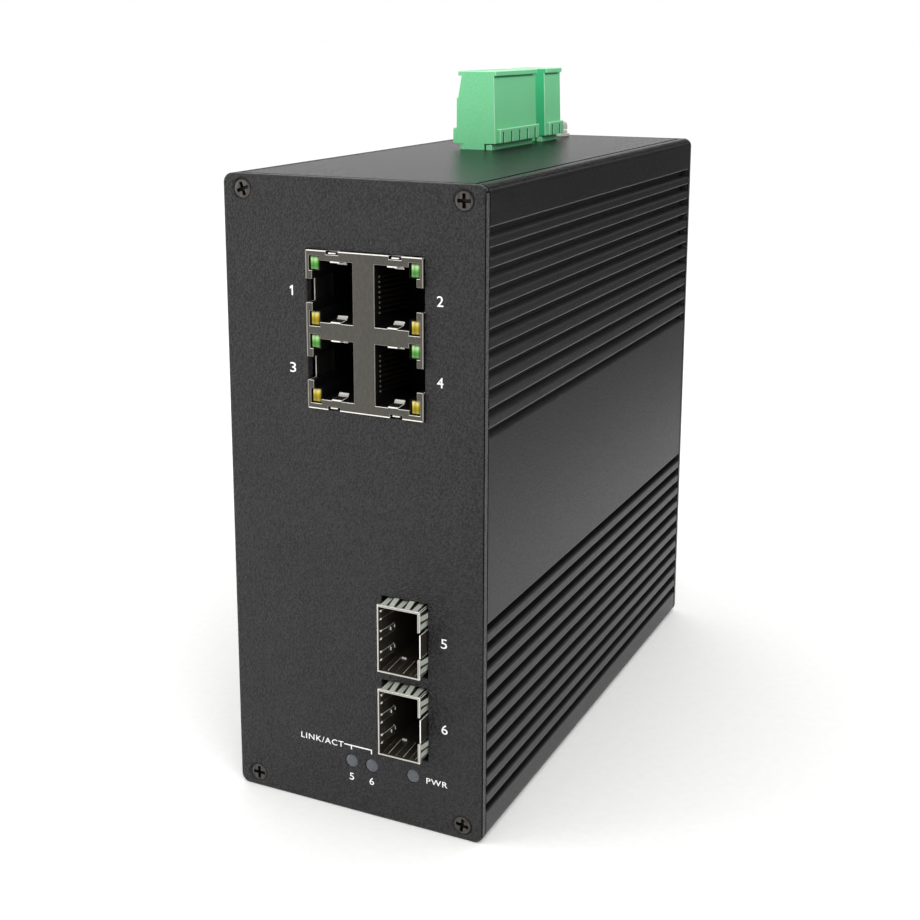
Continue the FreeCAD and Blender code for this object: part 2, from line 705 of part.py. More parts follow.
def sfp_connector(middle):
    """Edge connector at the back of a cage, with the slot for the module's card."""
    front, rear = CONNECTOR_Y
    body = block((CONNECTOR_X, MAIN_BOARD_X[0]), (front, rear), spread(middle, CONNECTOR_HALF))
    slot_y = (front - PAST, front + CARD_SLOT_DEPTH)
    slot = block(CARD_SLOT_X, slot_y, spread(middle, CARD_SLOT_HALF))
    chin_x = (CHIN_X, CAGE_X[1] - CAGE_SHEET)
    chin = block(chin_x, (front - PAST, front + CHIN_DEPTH), spread(middle, CAGE_HALF))
    return body.cut([slot, chin])


def indicator(x):
    """Round lamp: dome, body and flange, on two bent leads that stand on the lamp board."""
    flange = INDICATOR_FLANGE_Y
    body = flange[0] - INDICATOR_TIP
    profile = list(INDICATOR_DOME) + [(body, INDICATOR_RADIUS), (body, INDICATOR_FLANGE)]
    profile.append((flange[1] - INDICATOR_TIP, INDICATOR_FLANGE))
    lamp = turned(V(x, INDICATOR_TIP, INDICATOR_Z), Y_AXIS, profile, FINE)
    root = flange[1] - LEAD_ROOT
    bend = flange[1] + LEAD_REACH
    low, high = spread(INDICATOR_Z, LEAD_SIDE / 2)
    lead = [(root, high), (bend, high), (bend, LAMP_BOARD_TOP), (bend - LEAD_SIDE, LAMP_BOARD_TOP)]
    lead += [(bend - LEAD_SIDE, low), (root, low)]
    leads = [along_x(lead, spread(at, LEAD_SIDE / 2)) for at in spread(x, LEAD_SPREAD)]
    return joined(lamp, leads)


def indicator_board():
    """Shelf of circuit board that carries the indicators off the main board."""
    z = (LAMP_BOARD_TOP - BOARD_THICKNESS, LAMP_BOARD_TOP)
    return block((LAMP_BOARD_X, MAIN_BOARD_X[0]), LAMP_BOARD_Y, z)


def main_board():
    """Upright board, held between the covers' ribs."""
    return block(MAIN_BOARD_X, MAIN_BOARD_Y, MAIN_BOARD_Z)


def pole_middles(name):
    """y of each pole's middle in one terminal."""
    poles, start = TERMINALS[name]
    first = start + PLUG_END + POLE_PITCH / 2
    return [first + index * POLE_PITCH for index in range(poles)]


def pin_solids(names):
    """Square header pins, through the power board and up into the plug."""
    half = PIN_SIDE / 2
    z = (POWER_BOARD_TOP - BOARD_THICKNESS - PIN_TAIL, PIN_TOP)
    return [block(spread(PIN_X, half), spread(y, half), z) for name in names for y in pole_middles(name)]


def power_board():
    """Flat board under the top cover, on the left wall's ribs, drilled for the header pins."""
    z = (POWER_BOARD_TOP - BOARD_THICKNESS, POWER_BOARD_TOP)
    return block(POWER_BOARD_X, POWER_BOARD_Y, z).cut(pin_solids(TERMINALS))


def board_connector():
    """Header block that joins the power board to the main board."""
    top = POWER_BOARD_TOP - BOARD_THICKNESS
    low = top - LINK_DROP
    high = top + LINK_RISE
    beside = POWER_BOARD_X[1] + LINK_ROOM
    board = MAIN_BOARD_X[0]
    outline = [(LINK_X, top), (LINK_X, low), (board, low), (board, high), (beside, high), (beside, top)]
    return along_y(outline, LINK_Y)


def switch_chip():
    """Square switch processor on the wall side of the main board."""
    x = (MAIN_BOARD_X[1], MAIN_BOARD_X[1] + CHIP_HEIGHT)
    chip = block(x, spread(CHIP_MIDDLE[0], CHIP_HALF), spread(CHIP_MIDDLE[1], CHIP_HALF))
    return chip.makeChamfer(CHIP_CHAMFER, edges_on(chip, X_AXIS, x[1]))


def thermal_pad():
    """Soft pad between the processor and the heat block."""
    start = MAIN_BOARD_X[1] + CHIP_HEIGHT
    y, z = (spread(middle, PAD_HALF) for middle in CHIP_MIDDLE)
    return block((start, start + PAD_THICKNESS), y, z)


def heat_block():
    """Aluminium plate that carries the processor's heat to the finned wall."""
    start = MAIN_BOARD_X[1] + CHIP_HEIGHT + PAD_THICKNESS
    y, z = (spread(middle, HEAT_BLOCK_HALF) for middle in CHIP_MIDDLE)
    return block((start, WALL_INSIDE), y, z)


def lan_transformer(level):
    """Isolating transformer module on the component side, behind the sockets."""
    x = (MAIN_BOARD_X[0] - TRANSFORMER_HEIGHT, MAIN_BOARD_X[0])
    body = block(x, TRANSFORMER_Y, (level, level + TRANSFORMER_LENGTH))
    return body.makeChamfer(TRANSFORMER_CHAMFER, edges_on(body, X_AXIS, x[0]))


def bulk_capacitor(y):
    """Electrolytic can under the power board, with its crimped neck."""
    top = V(CAPACITOR_X, y, POWER_BOARD_TOP - BOARD_THICKNESS)
    radii = (CAPACITOR_RADIUS, CAPACITOR_RADIUS, CAPACITOR_NECK, CAPACITOR_RADIUS)
    profile = [(0, CAPACITOR_BASE)] + list(zip(CAPACITOR_NECK_AT, radii))
    profile.append((CAPACITOR_HEIGHT, CAPACITOR_RADIUS))
    return turned(top, Z_AXIS * -1, profile, COARSE)


def power_inductor():
    """Shielded inductor under the power board."""
    top = POWER_BOARD_TOP - BOARD_THICKNESS
    body = block(INDUCTOR_X, INDUCTOR_Y, (top - INDUCTOR_HEIGHT, top))
    return body.makeChamfer(INDUCTOR_CHAMFER, edges_on(body, Z_AXIS, top - INDUCTOR_HEIGHT / 2))


def plug_span(name):
    """y range of a plug."""
    poles, start = TERMINALS[name]
    return start, start + poles * POLE_PITCH + 2 * PLUG_END


def header_span(name):
    """y range of a header, a little shorter than its plug."""
    start, end = plug_span(name)
    return start + HEADER_ROOM, end - HEADER_ROOM


def terminal_header(name):
    """Header on the power board, open at both ends, its two walls standing above the top cover."""
    y = header_span(name)
    inner_x = (HEADER_X[0] + HEADER_WALLS[0], HEADER_X[1] - HEADER_WALLS[1])
    inner_y = (y[0] - PAST, y[1] + PAST)
    well = block(inner_x, inner_y, (HEADER_RIM - SOCKET_DEPTH - PLUG_ROOM, HEADER_RIM + PAST))
    key_x = (HEADER_X[0] - PAST, inner_x[0] + PLUG_ROOM)
    key_z = (HEADER_RIM - HEADER_KEY_DEPTH, HEADER_RIM + PAST)
    keys = [block(key_x, spread(middle, HEADER_KEY_HALF), key_z) for middle in pole_middles(name)]
    return block(HEADER_X, y, (POWER_BOARD_TOP, HEADER_RIM)).cut([well] + keys + pin_solids([name]))


def plug_outline():
    """Section of a plug: top lip, sloping screw side, stepped foot and drafted back."""
    left, right = PLUG_X
    top = CASE_HEIGHT + PLUG_HEIGHT
    lip = top - PLUG_LIP
    step = (left - PLUG_STEP[0], CASE_HEIGHT + PLUG_STEP[1])
    foot = (left - PLUG_FOOT[0], CASE_HEIGHT + PLUG_FOOT[1])
    points = [(left, top), (left, lip), (left + PLUG_NECK, lip), (left, CASE_HEIGHT + PLUG_SLOPE_FOOT)]
    points += [step, (step[0], foot[1]), foot, (foot[0], HEADER_RIM + PLUG_UNDERCUT[1])]
    points += [(foot[0] + PLUG_UNDERCUT[0], HEADER_RIM), (right, HEADER_RIM)]
    return points + [(right - PLUG_DRAFT, lip), (right, lip), (right, top)]


def plug_comb(name):
    """Coding ribs low on the back of a plug, one slot for each pole."""
    y = plug_span(name)
    x = (PLUG_X[1] - COMB_BITE, PLUG_X[1] + COMB_PROUD)
    bar_z = (HEADER_RIM + COMB_Z[0], HEADER_RIM + COMB_Z[1])
    bar = block(x, (y[0] + COMB_INSET[0], y[1] - COMB_INSET[1]), bar_z)
    slot_x = (PLUG_X[1] + COMB_SLOT_FLOOR, x[1] + PAST)
    slot_z = (HEADER_RIM - PAST, HEADER_RIM + COMB_SLOT_TOP)
    slots = [block(slot_x, (middle + COMB_SLOT[0], middle + COMB_SLOT[1]), slot_z)
             for middle in pole_middles(name)]
    return bar.cut(slots)


def terminal_plug(name):
    """Screw plug with wire mouths on top, screw wells in its slope and a tongue below."""
    y = plug_span(name)
    tongue_z = (HEADER_RIM - SOCKET_DEPTH, HEADER_RIM + PAST)
    tongue = block(TONGUE_X, (y[0] + PLUG_ROOM, y[1] - PLUG_ROOM), tongue_z)
    plug = joined(along_y(plug_outline(), y), [tongue, plug_comb(name)])
    mouth_z = (WIRE_FLOOR, CASE_HEIGHT + PLUG_HEIGHT + PAST)
    well_length = WIRE_X[0] - PLUG_X[0] + PAST
    pin_half = PIN_SIDE / 2 + PIN_ROOM
    pin_z = (PIN_TOP - PIN_SOCKET_DEPTH, PIN_TOP + PIN_HEADROOM)
    cuts = []
    for middle in pole_middles(name):
        well_start = V(PLUG_X[0] - PAST, middle, CLAMP_SCREW_Z)
        cuts.append(block(WIRE_X, spread(middle, WIRE_HALF), mouth_z))
        cuts.append(rod(well_start, X_AXIS, CLAMP_SCREW_HOLE, well_length, FINE))
        cuts.append(block(spread(PIN_X, pin_half), spread(middle, pin_half), pin_z))
    return plug.cut(cuts)


def all_poles():
    """y of every pole's middle."""
    return [middle for name in TERMINALS for middle in pole_middles(name)]


def plug_clamps():
    """Metal cages that grip the wires, one on the floor of each wire mouth."""
    z = (WIRE_FLOOR, WIRE_FLOOR + CLAMP_HEIGHT)
    x = (WIRE_X[0] + CLAMP_ROOM, WIRE_X[1] - CLAMP_ROOM)
    half = WIRE_HALF - CLAMP_ROOM
    inner_x = (x[0] + CLAMP_WALL, x[1] - CLAMP_WALL)
    clamps = []
    for middle in all_poles():
        hollow = block(inner_x, spread(middle, half - CLAMP_WALL), (z[0] - PAST, z[1] + PAST))
        thread_start = V(x[0] - PAST, middle, CLAMP_SCREW_Z)
        thread = rod(thread_start, X_AXIS, CLAMP_SCREW_SHANK, CLAMP_WALL + 2 * PAST, COARSE)
        clamps.append(block(x, spread(middle, half), z).cut([hollow, thread]))
    return clamps


def plug_screws():
    """Slotted clamp screws in the wells on the plugs' sloping sides."""
    reach = CLAMP_SCREW_END - CLAMP_SCREW_SEAT
    profile = [(0, CLAMP_SCREW_HEAD), (CLAMP_SCREW_HEIGHT, CLAMP_SCREW_HEAD)]
    profile += [(CLAMP_SCREW_HEIGHT, CLAMP_SCREW_SHANK), (reach, CLAMP_SCREW_SHANK)]
    slot_x = (CLAMP_SCREW_SEAT - PAST, CLAMP_SCREW_SEAT + CLAMP_SLOT_DEPTH)
    slot_z = spread(CLAMP_SCREW_Z, CLAMP_SCREW_HEAD + PAST)
    screws = []
    for middle in all_poles():
        screw = turned(V(CLAMP_SCREW_SEAT, middle, CLAMP_SCREW_Z), X_AXIS, profile, COARSE)
        screws.append(screw.cut(block(slot_x, spread(middle, CLAMP_SLOT_HALF), slot_z)))
    return screws


def earth_washer():
    """Plain washer under the earth screw."""
    return washer(CASE_HEIGHT, EARTH_WASHER_RADIUS, EARTH_WASHER)


def washer(level, radius, thickness):
    """Flat ring round the earth screw."""
    start = V(EARTH_X, EARTH_Y, level)
    return rod(start, Z_AXIS, radius, thickness, FINE).cut(rod(start, Z_AXIS, EARTH_HOLE, thickness, FINE))


def earth_spring_washer():
    """Split washer with its slanting cut."""
    low = CASE_HEIGHT + EARTH_WASHER
    high = low + EARTH_SPRING_WASHER
    ring = washer(low, EARTH_SPRING_RADIUS, EARTH_SPRING_WASHER)
    cut = [(EARTH_X - EARTH_SPLIT, low), (EARTH_X, low), (EARTH_X + EARTH_SPLIT, high), (EARTH_X, high)]
    return ring.cut(along_y(cut, (EARTH_Y - EARTH_SPRING_RADIUS - PAST, EARTH_Y)))


def earth_screw():
    """Domed earth screw through both washers into the top cover."""
    seat = CASE_HEIGHT + EARTH_WASHER + EARTH_SPRING_WASHER
    profile = list(EARTH_HEAD) + [(0, EARTH_HOLE), (-EARTH_SCREW_REACH, EARTH_HOLE)]
    screw = turned(V(EARTH_X, EARTH_Y, seat), Z_AXIS, profile, FINE)
    z = (seat + EARTH_CROSS_FLOOR, seat + EARTH_HEAD[0][0] + PAST)
    slots = [block(spread(EARTH_X, x), spread(EARTH_Y, y), z) for x, y in (EARTH_CROSS, EARTH_CROSS[::-1])]
    return screw.cut(slots)


def rail_clip():
    """Extruded clip with a short lower hook and a deep upper hook for the rail."""
    low, high = CLIP_ROOTS
    low_tip = low + CLIP_OVERLAP[0]
    high_tip = high - CLIP_OVERLAP[1]
    gap = CLIP_FACE + CLIP_GAP
    back = gap + CLIP_LIP
    ease_y, ease_z = CLIP_EASE
    outline = [(REAR, low - CLIP_BLOCK), (back, low - CLIP_BLOCK), (back, low_tip - ease_z)]
    outline += [(back - ease_y, low_tip), (gap, low_tip), (gap, low), (CLIP_FACE, low), (CLIP_FACE, high)]
    outline += [(gap, high), (gap, high_tip), (back - ease_y, high_tip), (back, high_tip + ease_z)]
    outline += [(back, high + CLIP_BLOCK), (REAR, high + CLIP_BLOCK)]
    return along_x(outline, spread(0, CLIP_WIDTH / 2)).cut(clip_screws())


def clip_spring():
    """Bowed leaf in the upper hook that presses the rail down."""
    top = CLIP_ROOTS[1]
    y = CLIP_FACE + LEAF_ROOM
    inner_half = LEAF_HALF - LEAF_END
    outer = Part.Arc(V(-LEAF_HALF, y, top), V(0, y, top - LEAF_BOW), V(LEAF_HALF, y, top))
    inner = Part.Arc(V(-inner_half, y, top), V(0, y, top - LEAF_BOW + LEAF_GAUGE), V(inner_half, y, top))
    ends = [Part.makeLine(V(side * LEAF_HALF, y, top), V(side * inner_half, y, top)) for side in (-1, 1)]
    wire = Part.Wire([outer.toShape(), ends[1], inner.toShape(), ends[0]])
    return Part.Face(wire).extrude(Y_AXIS * (CLIP_GAP - 2 * LEAF_ROOM))


def clip_screws():
    """Countersunk screws that hold the clip to the rear panel."""
    sizes = (CLIP_SCREW_HEAD, CLIP_SCREW_SHANK, CLIP_SCREW_LENGTH, COARSE)
    return [countersunk(V(x, CLIP_FACE, z), Y_AXIS * -1, *sizes) for x, z in CLIP_HOLES]


def build_case():
    """Extrusions, panels, their screws and the rail clip."""
    wall = side_wall()
    save("side_wall_right", wall)
    save("side_wall_left", mirrored_in_x(wall))
    save("top_cover", top_cover())
    save("bottom_cover", bottom_cover())
    save("front_panel", front_panel())
    save("rear_panel", rear_panel())
    save("panel_screws", *panel_screws())
    save("rail_clip", rail_clip())
    save("rail_clip_spring", clip_spring())
    save("rail_clip_screws", *clip_screws())


def build_sockets():
    """Network socket block, optical module cages and indicators."""
    save("jack_shield", jack_shield())
    save("jack_housing", jack_housing())
    for number, (column, middle) in enumerate(sockets(), start=1):
        link, activity = lamp_spans(middle)
        save(f"jack_contacts_{number}", *jack_contacts(column, middle))
        save(f"link_lamp_{number}", jack_lamp(column, link))
        save(f"activity_lamp_{number}", jack_lamp(column, activity))
    for number, middle in CAGE_CENTRES.items():
        save(f"sfp_cage_{number}", sfp_cage(middle))
        save(f"sfp_springs_{number}", sfp_springs(middle))
        save(f"sfp_connector_{number}", sfp_connector(middle))
    for name, x in INDICATORS.items():
        save(f"indicator_{name}", indicator(x))


def build_boards():
    """Circuit boards and their larger components."""
    save("indicator_board", indicator_board())
    save("main_board", main_board())
    save("power_board", power_board())
    save("board_connector", board_connector())
    save("switch_chip", switch_chip())
    save("thermal_pad", thermal_pad())
    save("heat_block", heat_block())
    for number, level in enumerate(TRANSFORMER_LEVELS, start=1):
        save(f"lan_transformer_{number}", lan_transformer(level))
    for number, y in enumerate(CAPACITOR_YS, start=1):
        save(f"bulk_capacitor_{number}", bulk_capacitor(y))
    save("power_inductor", power_inductor())


def build_terminals():
    """Headers, plugs and the earth point on the top cover."""
    for name in TERMINALS:
        save(f"{name}_header", terminal_header(name))
        save(f"{name}_plug", terminal_plug(name))
    save("header_pins", *pin_solids(TERMINALS))
    save("plug_clamps", *plug_clamps())
    save("plug_screws", *plug_screws())
    save("earth_washer", earth_washer())
    save("earth_spring_washer", earth_spring_washer())
    save("earth_screw", earth_screw())


os.makedirs("parts", exist_ok=True)
build_case()
build_sockets()
build_boards()
build_terminals()
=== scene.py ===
"""Dresses the rail-mounted ethernet switch: finishes, rounded edges, fasteners, legends and studio."""

import logging
import math
from dataclasses import dataclass
from enum import Enum
from typing import Iterable, Sequence

import bmesh
import bpy
from mathutils import Matrix, Vector


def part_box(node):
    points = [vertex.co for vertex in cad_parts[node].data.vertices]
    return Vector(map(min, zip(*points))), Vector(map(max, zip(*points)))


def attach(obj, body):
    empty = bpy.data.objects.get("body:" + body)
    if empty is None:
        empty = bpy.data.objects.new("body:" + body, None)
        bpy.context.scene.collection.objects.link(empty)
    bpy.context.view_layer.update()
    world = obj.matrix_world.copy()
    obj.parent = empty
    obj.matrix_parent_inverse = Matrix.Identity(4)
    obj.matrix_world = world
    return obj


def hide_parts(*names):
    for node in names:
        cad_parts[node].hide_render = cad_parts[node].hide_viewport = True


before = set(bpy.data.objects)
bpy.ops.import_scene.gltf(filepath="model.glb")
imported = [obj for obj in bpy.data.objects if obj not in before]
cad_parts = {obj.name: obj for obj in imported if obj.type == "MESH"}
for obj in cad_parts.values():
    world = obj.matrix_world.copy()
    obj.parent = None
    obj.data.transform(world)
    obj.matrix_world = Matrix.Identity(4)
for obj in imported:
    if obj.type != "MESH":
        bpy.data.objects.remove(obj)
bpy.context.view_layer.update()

LOG = logging.getLogger("ethernet_switch")
MM = 0.001
WELD = 0.001 * MM
BODY = "root"
CASE_MIDDLE = sum(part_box("front_panel"), Vector()).z / 2
Point = tuple[float, float]
Triple = tuple[float, float, float]

# Shares of a face's normal along an axis: above the first it looks straight along the axis, above the
# second it leans to it, and below the third it runs about square to it.
STRAIGHT = 0.95
LEANING = 0.25
SQUARE = 0.3
# Degrees below which a face is flat, above which an edge is sharp, and below which shading is smooth.
FLAT_DEG = 1.0
SHARP_DEG = 25.0
SMOOTH_DEG = 42.0
# Number of a piece's second finish, for its edges with painted highlights or its recesses with painted shade.
MARKED = 1

# How a grain is drawn: its detail and contrast, the mottle under it, and how far it varies the roughness.
GRAIN_DETAIL = 2.0
GRAIN_CONTRAST = (0.36, 0.64)
MOTTLE_SHARE = 0.25
MOTTLE_SIZE = 30
ROUGHNESS_SPREAD = 0.1


class Facing(Enum):
    """Direction that the outer end of a turned piece faces, as its turn about X in degrees."""

    FRONT = 90.0
    REAR = -90.0

    def turn(self) -> Matrix:
        """Returns the turn from +Z to this direction."""
        return Matrix.Rotation(math.radians(self.value), 4, "X")


class CageWall(Enum):
    """Wall of a cage that a spring leaf leaves, as the axis of the leaf's width."""

    SIDE = "Z"
    FLOOR = "X"


class EdgeHighlight(Enum):
    """Which rounded edges of a piece get a painted highlight."""

    NONE = "none"
    EVERY = "every edge"
    OUTER = "edges that face away from the middle"
    LIT = "edges that face up or to the front right"

    def marks(self, face: bmesh.types.BMFace) -> bool:
        """Tells whether a face of a rounded edge gets a painted highlight.

        Args:
            face: Face of the rounding, its normal up to date.

        Returns:
            True where it gets a painted highlight.
        """
        across, ahead, up = face.normal
        outward = across * face.calc_center_median().x > 0 and abs(ahead) < SQUARE
        lit = up > LEANING or (across > LEANING and ahead < -LEANING)
        return {EdgeHighlight.NONE: False, EdgeHighlight.EVERY: True, EdgeHighlight.OUTER: outward, EdgeHighlight.LIT: lit}[self]


class Slot(Enum):
    """Material slots of the record."""

    CASE = "case_black"
    PANEL = "panel_black"
    SCREW = "screw_black"
    CLIP = "clip_metal"
    SPRING = "spring_steel"
    SHIELD = "shield_steel"
    CAGE = "cage_steel"
    JACK = "jack_plastic"
    CONTACT = "contact_gold"
    GREEN_LAMP = "lamp_green"
    AMBER_LAMP = "lamp_amber"
    LENS = "lens_grey"
    TERMINAL = "terminal_green"
    PLATED = "plated_steel"


def linear(colour: str) -> tuple[float, float, float, float]:
    """Turns an sRGB hex colour into a linear one.

    Args:
        colour: Six hex digits after a hash mark.

    Returns:
        Linear red, green, blue and an alpha of one.
    """
    values = [int(colour[start:start + 2], 16) / 255 for start in (1, 3, 5)]
    red, green, blue = (v / 12.92 if v <= 0.04045 else ((v + 0.055) / 1.055) ** 2.4 for v in values)
    return red, green, blue, 1.0


def per_metre(size_mm: float) -> float:
    """Returns the texture scale at which a pattern repeats at a size in millimetres."""
    return 1 / (size_mm * MM)


def add_node(tree: bpy.types.NodeTree, kind: str, inputs: dict | None = None,
             **settings: object) -> bpy.types.Node:
    """Adds one shader node.

    Args:
        tree: Node tree of a material or of the world.
        kind: Type name of the node.
        inputs: Socket name or number, to a value or to the output socket that feeds it.
        settings: Properties of the node itself.

    Returns:
        The new node.
    """
    node = tree.nodes.new(kind)
    for name, value in settings.items():
        setattr(node, name, value)
    for socket, value in (inputs or {}).items():
        if isinstance(value, bpy.types.NodeSocket):
            tree.links.new(value, node.inputs[socket])
        else:
            node.inputs[socket].default_value = value
    return node


@dataclass(frozen=True)
class Finish:
    """Look of one real material: two tones of a grain that also roughens and lifts the surface."""

    name: str
    colour: str
    shade: str
    roughness: float
    grain_mm: float
    relief_mm: float

    def material(self) -> bpy.types.Material:
        """Makes the material on its first use.

        Returns:
            The material, the same one each time.
        """
        known = bpy.data.materials.get(self.name)
        if known:
            return known
        material = bpy.data.materials.new(self.name)
        material.use_nodes = True
        tree = material.node_tree
        self.dress(tree, tree.nodes["Principled BSDF"])
        return material

    def stretch(self) -> Triple:
        """Returns how much longer the grain is along each axis, as scales below one."""
        return 1.0, 1.0, 1.0

    def tint(self, tree: bpy.types.NodeTree, tone: bpy.types.NodeSocket) -> bpy.types.NodeSocket:
        """Returns the surface's colour, which goes from shade to colour with the tone of its grain."""
        ends = {"Factor": tone, "A": linear(self.shade), "B": linear(self.colour)}
        return add_node(tree, "ShaderNodeMix", ends, data_type="RGBA").outputs["Result"]

    def dress(self, tree: bpy.types.NodeTree, shader: bpy.types.Node) -> None:
        """Links the grain to the shader's colour, roughness and relief.

        Args:
            tree: The material's nodes.
            shader: Its surface shader.
        """
        place = add_node(tree, "ShaderNodeTexCoord").outputs["Object"]
        along = add_node(tree, "ShaderNodeMapping", {"Vector": place, "Scale": self.stretch()}).outputs[0]
        grain = add_node(tree, "ShaderNodeTexNoise", {
            "Vector": along, "Scale": per_metre(self.grain_mm), "Detail": GRAIN_DETAIL}).outputs[0]
        mottle = add_node(tree, "ShaderNodeTexNoise", {
            "Vector": place, "Scale": per_metre(self.grain_mm * MOTTLE_SIZE),
            "Detail": GRAIN_DETAIL}).outputs[0]
        low, high = GRAIN_CONTRAST
        crisp = add_node(tree, "ShaderNodeMapRange", {
            "Value": grain, "From Min": low, "From Max": high}).outputs[0]
        tone = add_node(tree, "ShaderNodeMix", {"Factor": MOTTLE_SHARE, "A": crisp, "B": mottle}).outputs[0]
        rough = add_node(tree, "ShaderNodeMapRange", {
            "Value": crisp, "To Min": self.roughness * (1 - ROUGHNESS_SPREAD),
            "To Max": min(1.0, self.roughness * (1 + ROUGHNESS_SPREAD))}).outputs[0]
        bump = add_node(tree, "ShaderNodeBump", {"Height": grain, "Distance": self.relief_mm * MM}).outputs[0]
        tree.links.new(self.tint(tree, tone), shader.inputs["Base Color"])
        tree.links.new(rough, shader.inputs["Roughness"])
        tree.links.new(bump, shader.inputs["Normal"])


@dataclass(frozen=True)
class GlossyFinish(Finish):
    """Surface of paint, oxide or plastic, whose gloss is its refractive index."""

    gloss: float = 1.5

    def dress(self, tree: bpy.types.NodeTree, shader: bpy.types.Node) -> None:
        """Adds the gloss to the grain."""
        super().dress(tree, shader)
        shader.inputs["IOR"].default_value = self.gloss


@dataclass(frozen=True)
class PowderCoat(GlossyFinish):
    """Textured powder paint baked on plate: a dull black whose small lumps glint."""


@dataclass(frozen=True)
class AnodisedExtrusion(GlossyFinish):
    """Anodised extrusion: a satin oxide with fine die lines along its length."""

    gloss: float = 1.45
    line_length: float = 2.5

    def stretch(self) -> Triple:
        """Draws the grain out along the extrusion."""
        return 1.0, 1 / self.line_length, 1.0


@dataclass(frozen=True)
class SheetMetal(Finish):
    """Plated sheet or strip: bare metal with the faint grain of rolling."""

    bareness: float = 1.0
    grain_length: float = 8.0

    def stretch(self) -> Triple:
        """Draws the grain out along the height."""
        return 1.0, 1.0, 1 / self.grain_length

    def dress(self, tree: bpy.types.NodeTree, shader: bpy.types.Node) -> None:
        """Makes the surface metal, as far as it is bare."""
        super().dress(tree, shader)
        shader.inputs["Metallic"].default_value = self.bareness


@dataclass(frozen=True)
class Moulding(GlossyFinish):
    """Injection moulded plastic: even colour, fine spark texture and a soft gloss."""

    softness: float = 0.0
    reach: Triple = (0.4, 0.8, 0.5)
    reach_mm: float = 0.8

    def dress(self, tree: bpy.types.NodeTree, shader: bpy.types.Node) -> None:
        """Adds the light that enters pale plastic and comes out beside.

        Args:
            tree: The material's nodes.
            shader: Its surface shader.
        """
        super().dress(tree, shader)
        shader.inputs["Subsurface Weight"].default_value = self.softness
        shader.inputs["Subsurface Radius"].default_value = self.reach
        shader.inputs["Subsurface Scale"].default_value = self.reach_mm * MM


@dataclass(frozen=True)
class LampLens(GlossyFinish):
    """Tinted clear moulding of a lamp, mapped over its own front.

    Its bands go from its colour at the foot to its shade at the top, deep in the lower half and pale in
    the upper one, a painted reflection of the room. Two upright painted glints cross them.
    """

    gloss: float = 1.3
    foot: float = 0.04
    bands: tuple[tuple[float, str], ...] = ()
    glints: tuple[tuple[float, str], ...] = ((0.0, "#8a8a8a"), (0.24, "#ffffff"), (0.46, "#c4c4c4"),
                                             (0.72, "#ffffff"), (1.0, "#a8a8a8"))

    def tint(self, tree: bpy.types.NodeTree, tone: bpy.types.NodeSocket) -> bpy.types.NodeSocket:
        """Lays the bands up the lens and the glints across it.

        Args:
            tree: The material's nodes.
            tone: Tone of the grain, which doesn't show in clear plastic.

        Returns:
            The lens's colour.
        """
        spot = add_node(tree, "ShaderNodeTexCoord").outputs["UV"]
        place = add_node(tree, "ShaderNodeSeparateXYZ", {0: spot})
        stops = ((self.foot, self.colour), *self.bands, (1.0, self.shade))
        up = self.ramp(tree, place.outputs["Y"], stops)
        across = self.ramp(tree, place.outputs["X"], self.glints)
        lens = add_node(tree, "ShaderNodeMix", {"Factor": 1.0, "A": up, "B": across}, data_type="RGBA",
                        blend_type="MULTIPLY")
        return lens.outputs["Result"]

    def ramp(self, tree: bpy.types.NodeTree, value: bpy.types.NodeSocket,
             stops: Sequence[tuple[float, str]]) -> bpy.types.NodeSocket:
        """Adds a colour ramp.

        Args:
            tree: The material's nodes.
            value: What runs along the ramp.
            stops: Place and colour of each stop.

        Returns:
            The ramp's colour.
        """
        node = add_node(tree, "ShaderNodeValToRGB", {0: value})
        marks = node.color_ramp.elements
        while len(marks) < len(stops):
            marks.new(stops[len(marks)][0])
        for mark, (spot, colour) in zip(marks, stops):
            mark.position = spot
            mark.color = linear(colour)
        return node.outputs[0]


# The grain of real oxide, rolled metal and moulded skin is some hundredths of a millimetre wide.
# It is drawn a few tenths wide here, as coarse as it needs to show in the render.

# Black anodised aluminium, extruded: a satin near-black with faint lines along the fins.
CASE_BLACK = AnodisedExtrusion("black_anodised_extrusion", "#1b1a1c", "#0d0d0e", 0.42, 0.40, 0.05, 1.52)
# The same in the upper grooves: painted light, a lighter grey than below.
CASE_GROOVE = AnodisedExtrusion("painted_light_anodised_groove", "#3a393b", "#29282a", 0.55, 0.40, 0.05)
# The same on the corners beside the covers, where a rougher oxide takes the shine away.
CASE_CROWN = AnodisedExtrusion("anodised_top_corner", "#161517", "#0a0a0b", 0.60, 0.45, 0.30, 1.3)
# The same on the fins' outer edges: painted highlights in thin grey lines.
CASE_EDGE = AnodisedExtrusion("painted_highlight_anodised_edge", "#383839", "#2b2b2c", 0.36, 0.40, 0.01)
# Thin black coat on the covers: black from above, and at a low angle a soft mirror of what stands on it.
COVER_BLACK = PowderCoat("black_coated_cover", "#252426", "#0b0b0c", 0.24, 0.48, 0.22, 1.11)
# Textured powder coat on the panels: charcoal, with small lumps that glint one by one.
PANEL_BLACK = PowderCoat("black_powder_coat", "#2e2d2e", "#030303", 0.34, 0.43, 0.44, 1.36)
# The same on the panels' cut sides, where it lies thinner and looks greyer.
PANEL_SIDE = PowderCoat("powder_coat_on_cut_edge", "#5a5859", "#242324", 0.50, 0.40, 0.30, 1.4)
# Bare joints between panels, walls and covers: lines of dull black that mirror nothing.
JOINT_SHADE = PowderCoat("dull_black_joint", "#060606", "#030303", 0.90, 0.40, 0.02, 1.05)
# Blackened steel of the panel screws: brownish dark grey with a dull metal shine.
SCREW_BLACK = SheetMetal("black_oxide_steel", "#5d5956", "#3e3b38", 0.40, 0.60, 0.010, 0.8)
# The same in their recesses and on their slopes: painted shade, near black.
SCREW_RECESS_SHADE = SheetMetal("painted_shade_screw_recess", "#131211", "#0b0b0a", 0.50, 0.40, 0.006, 0.4)
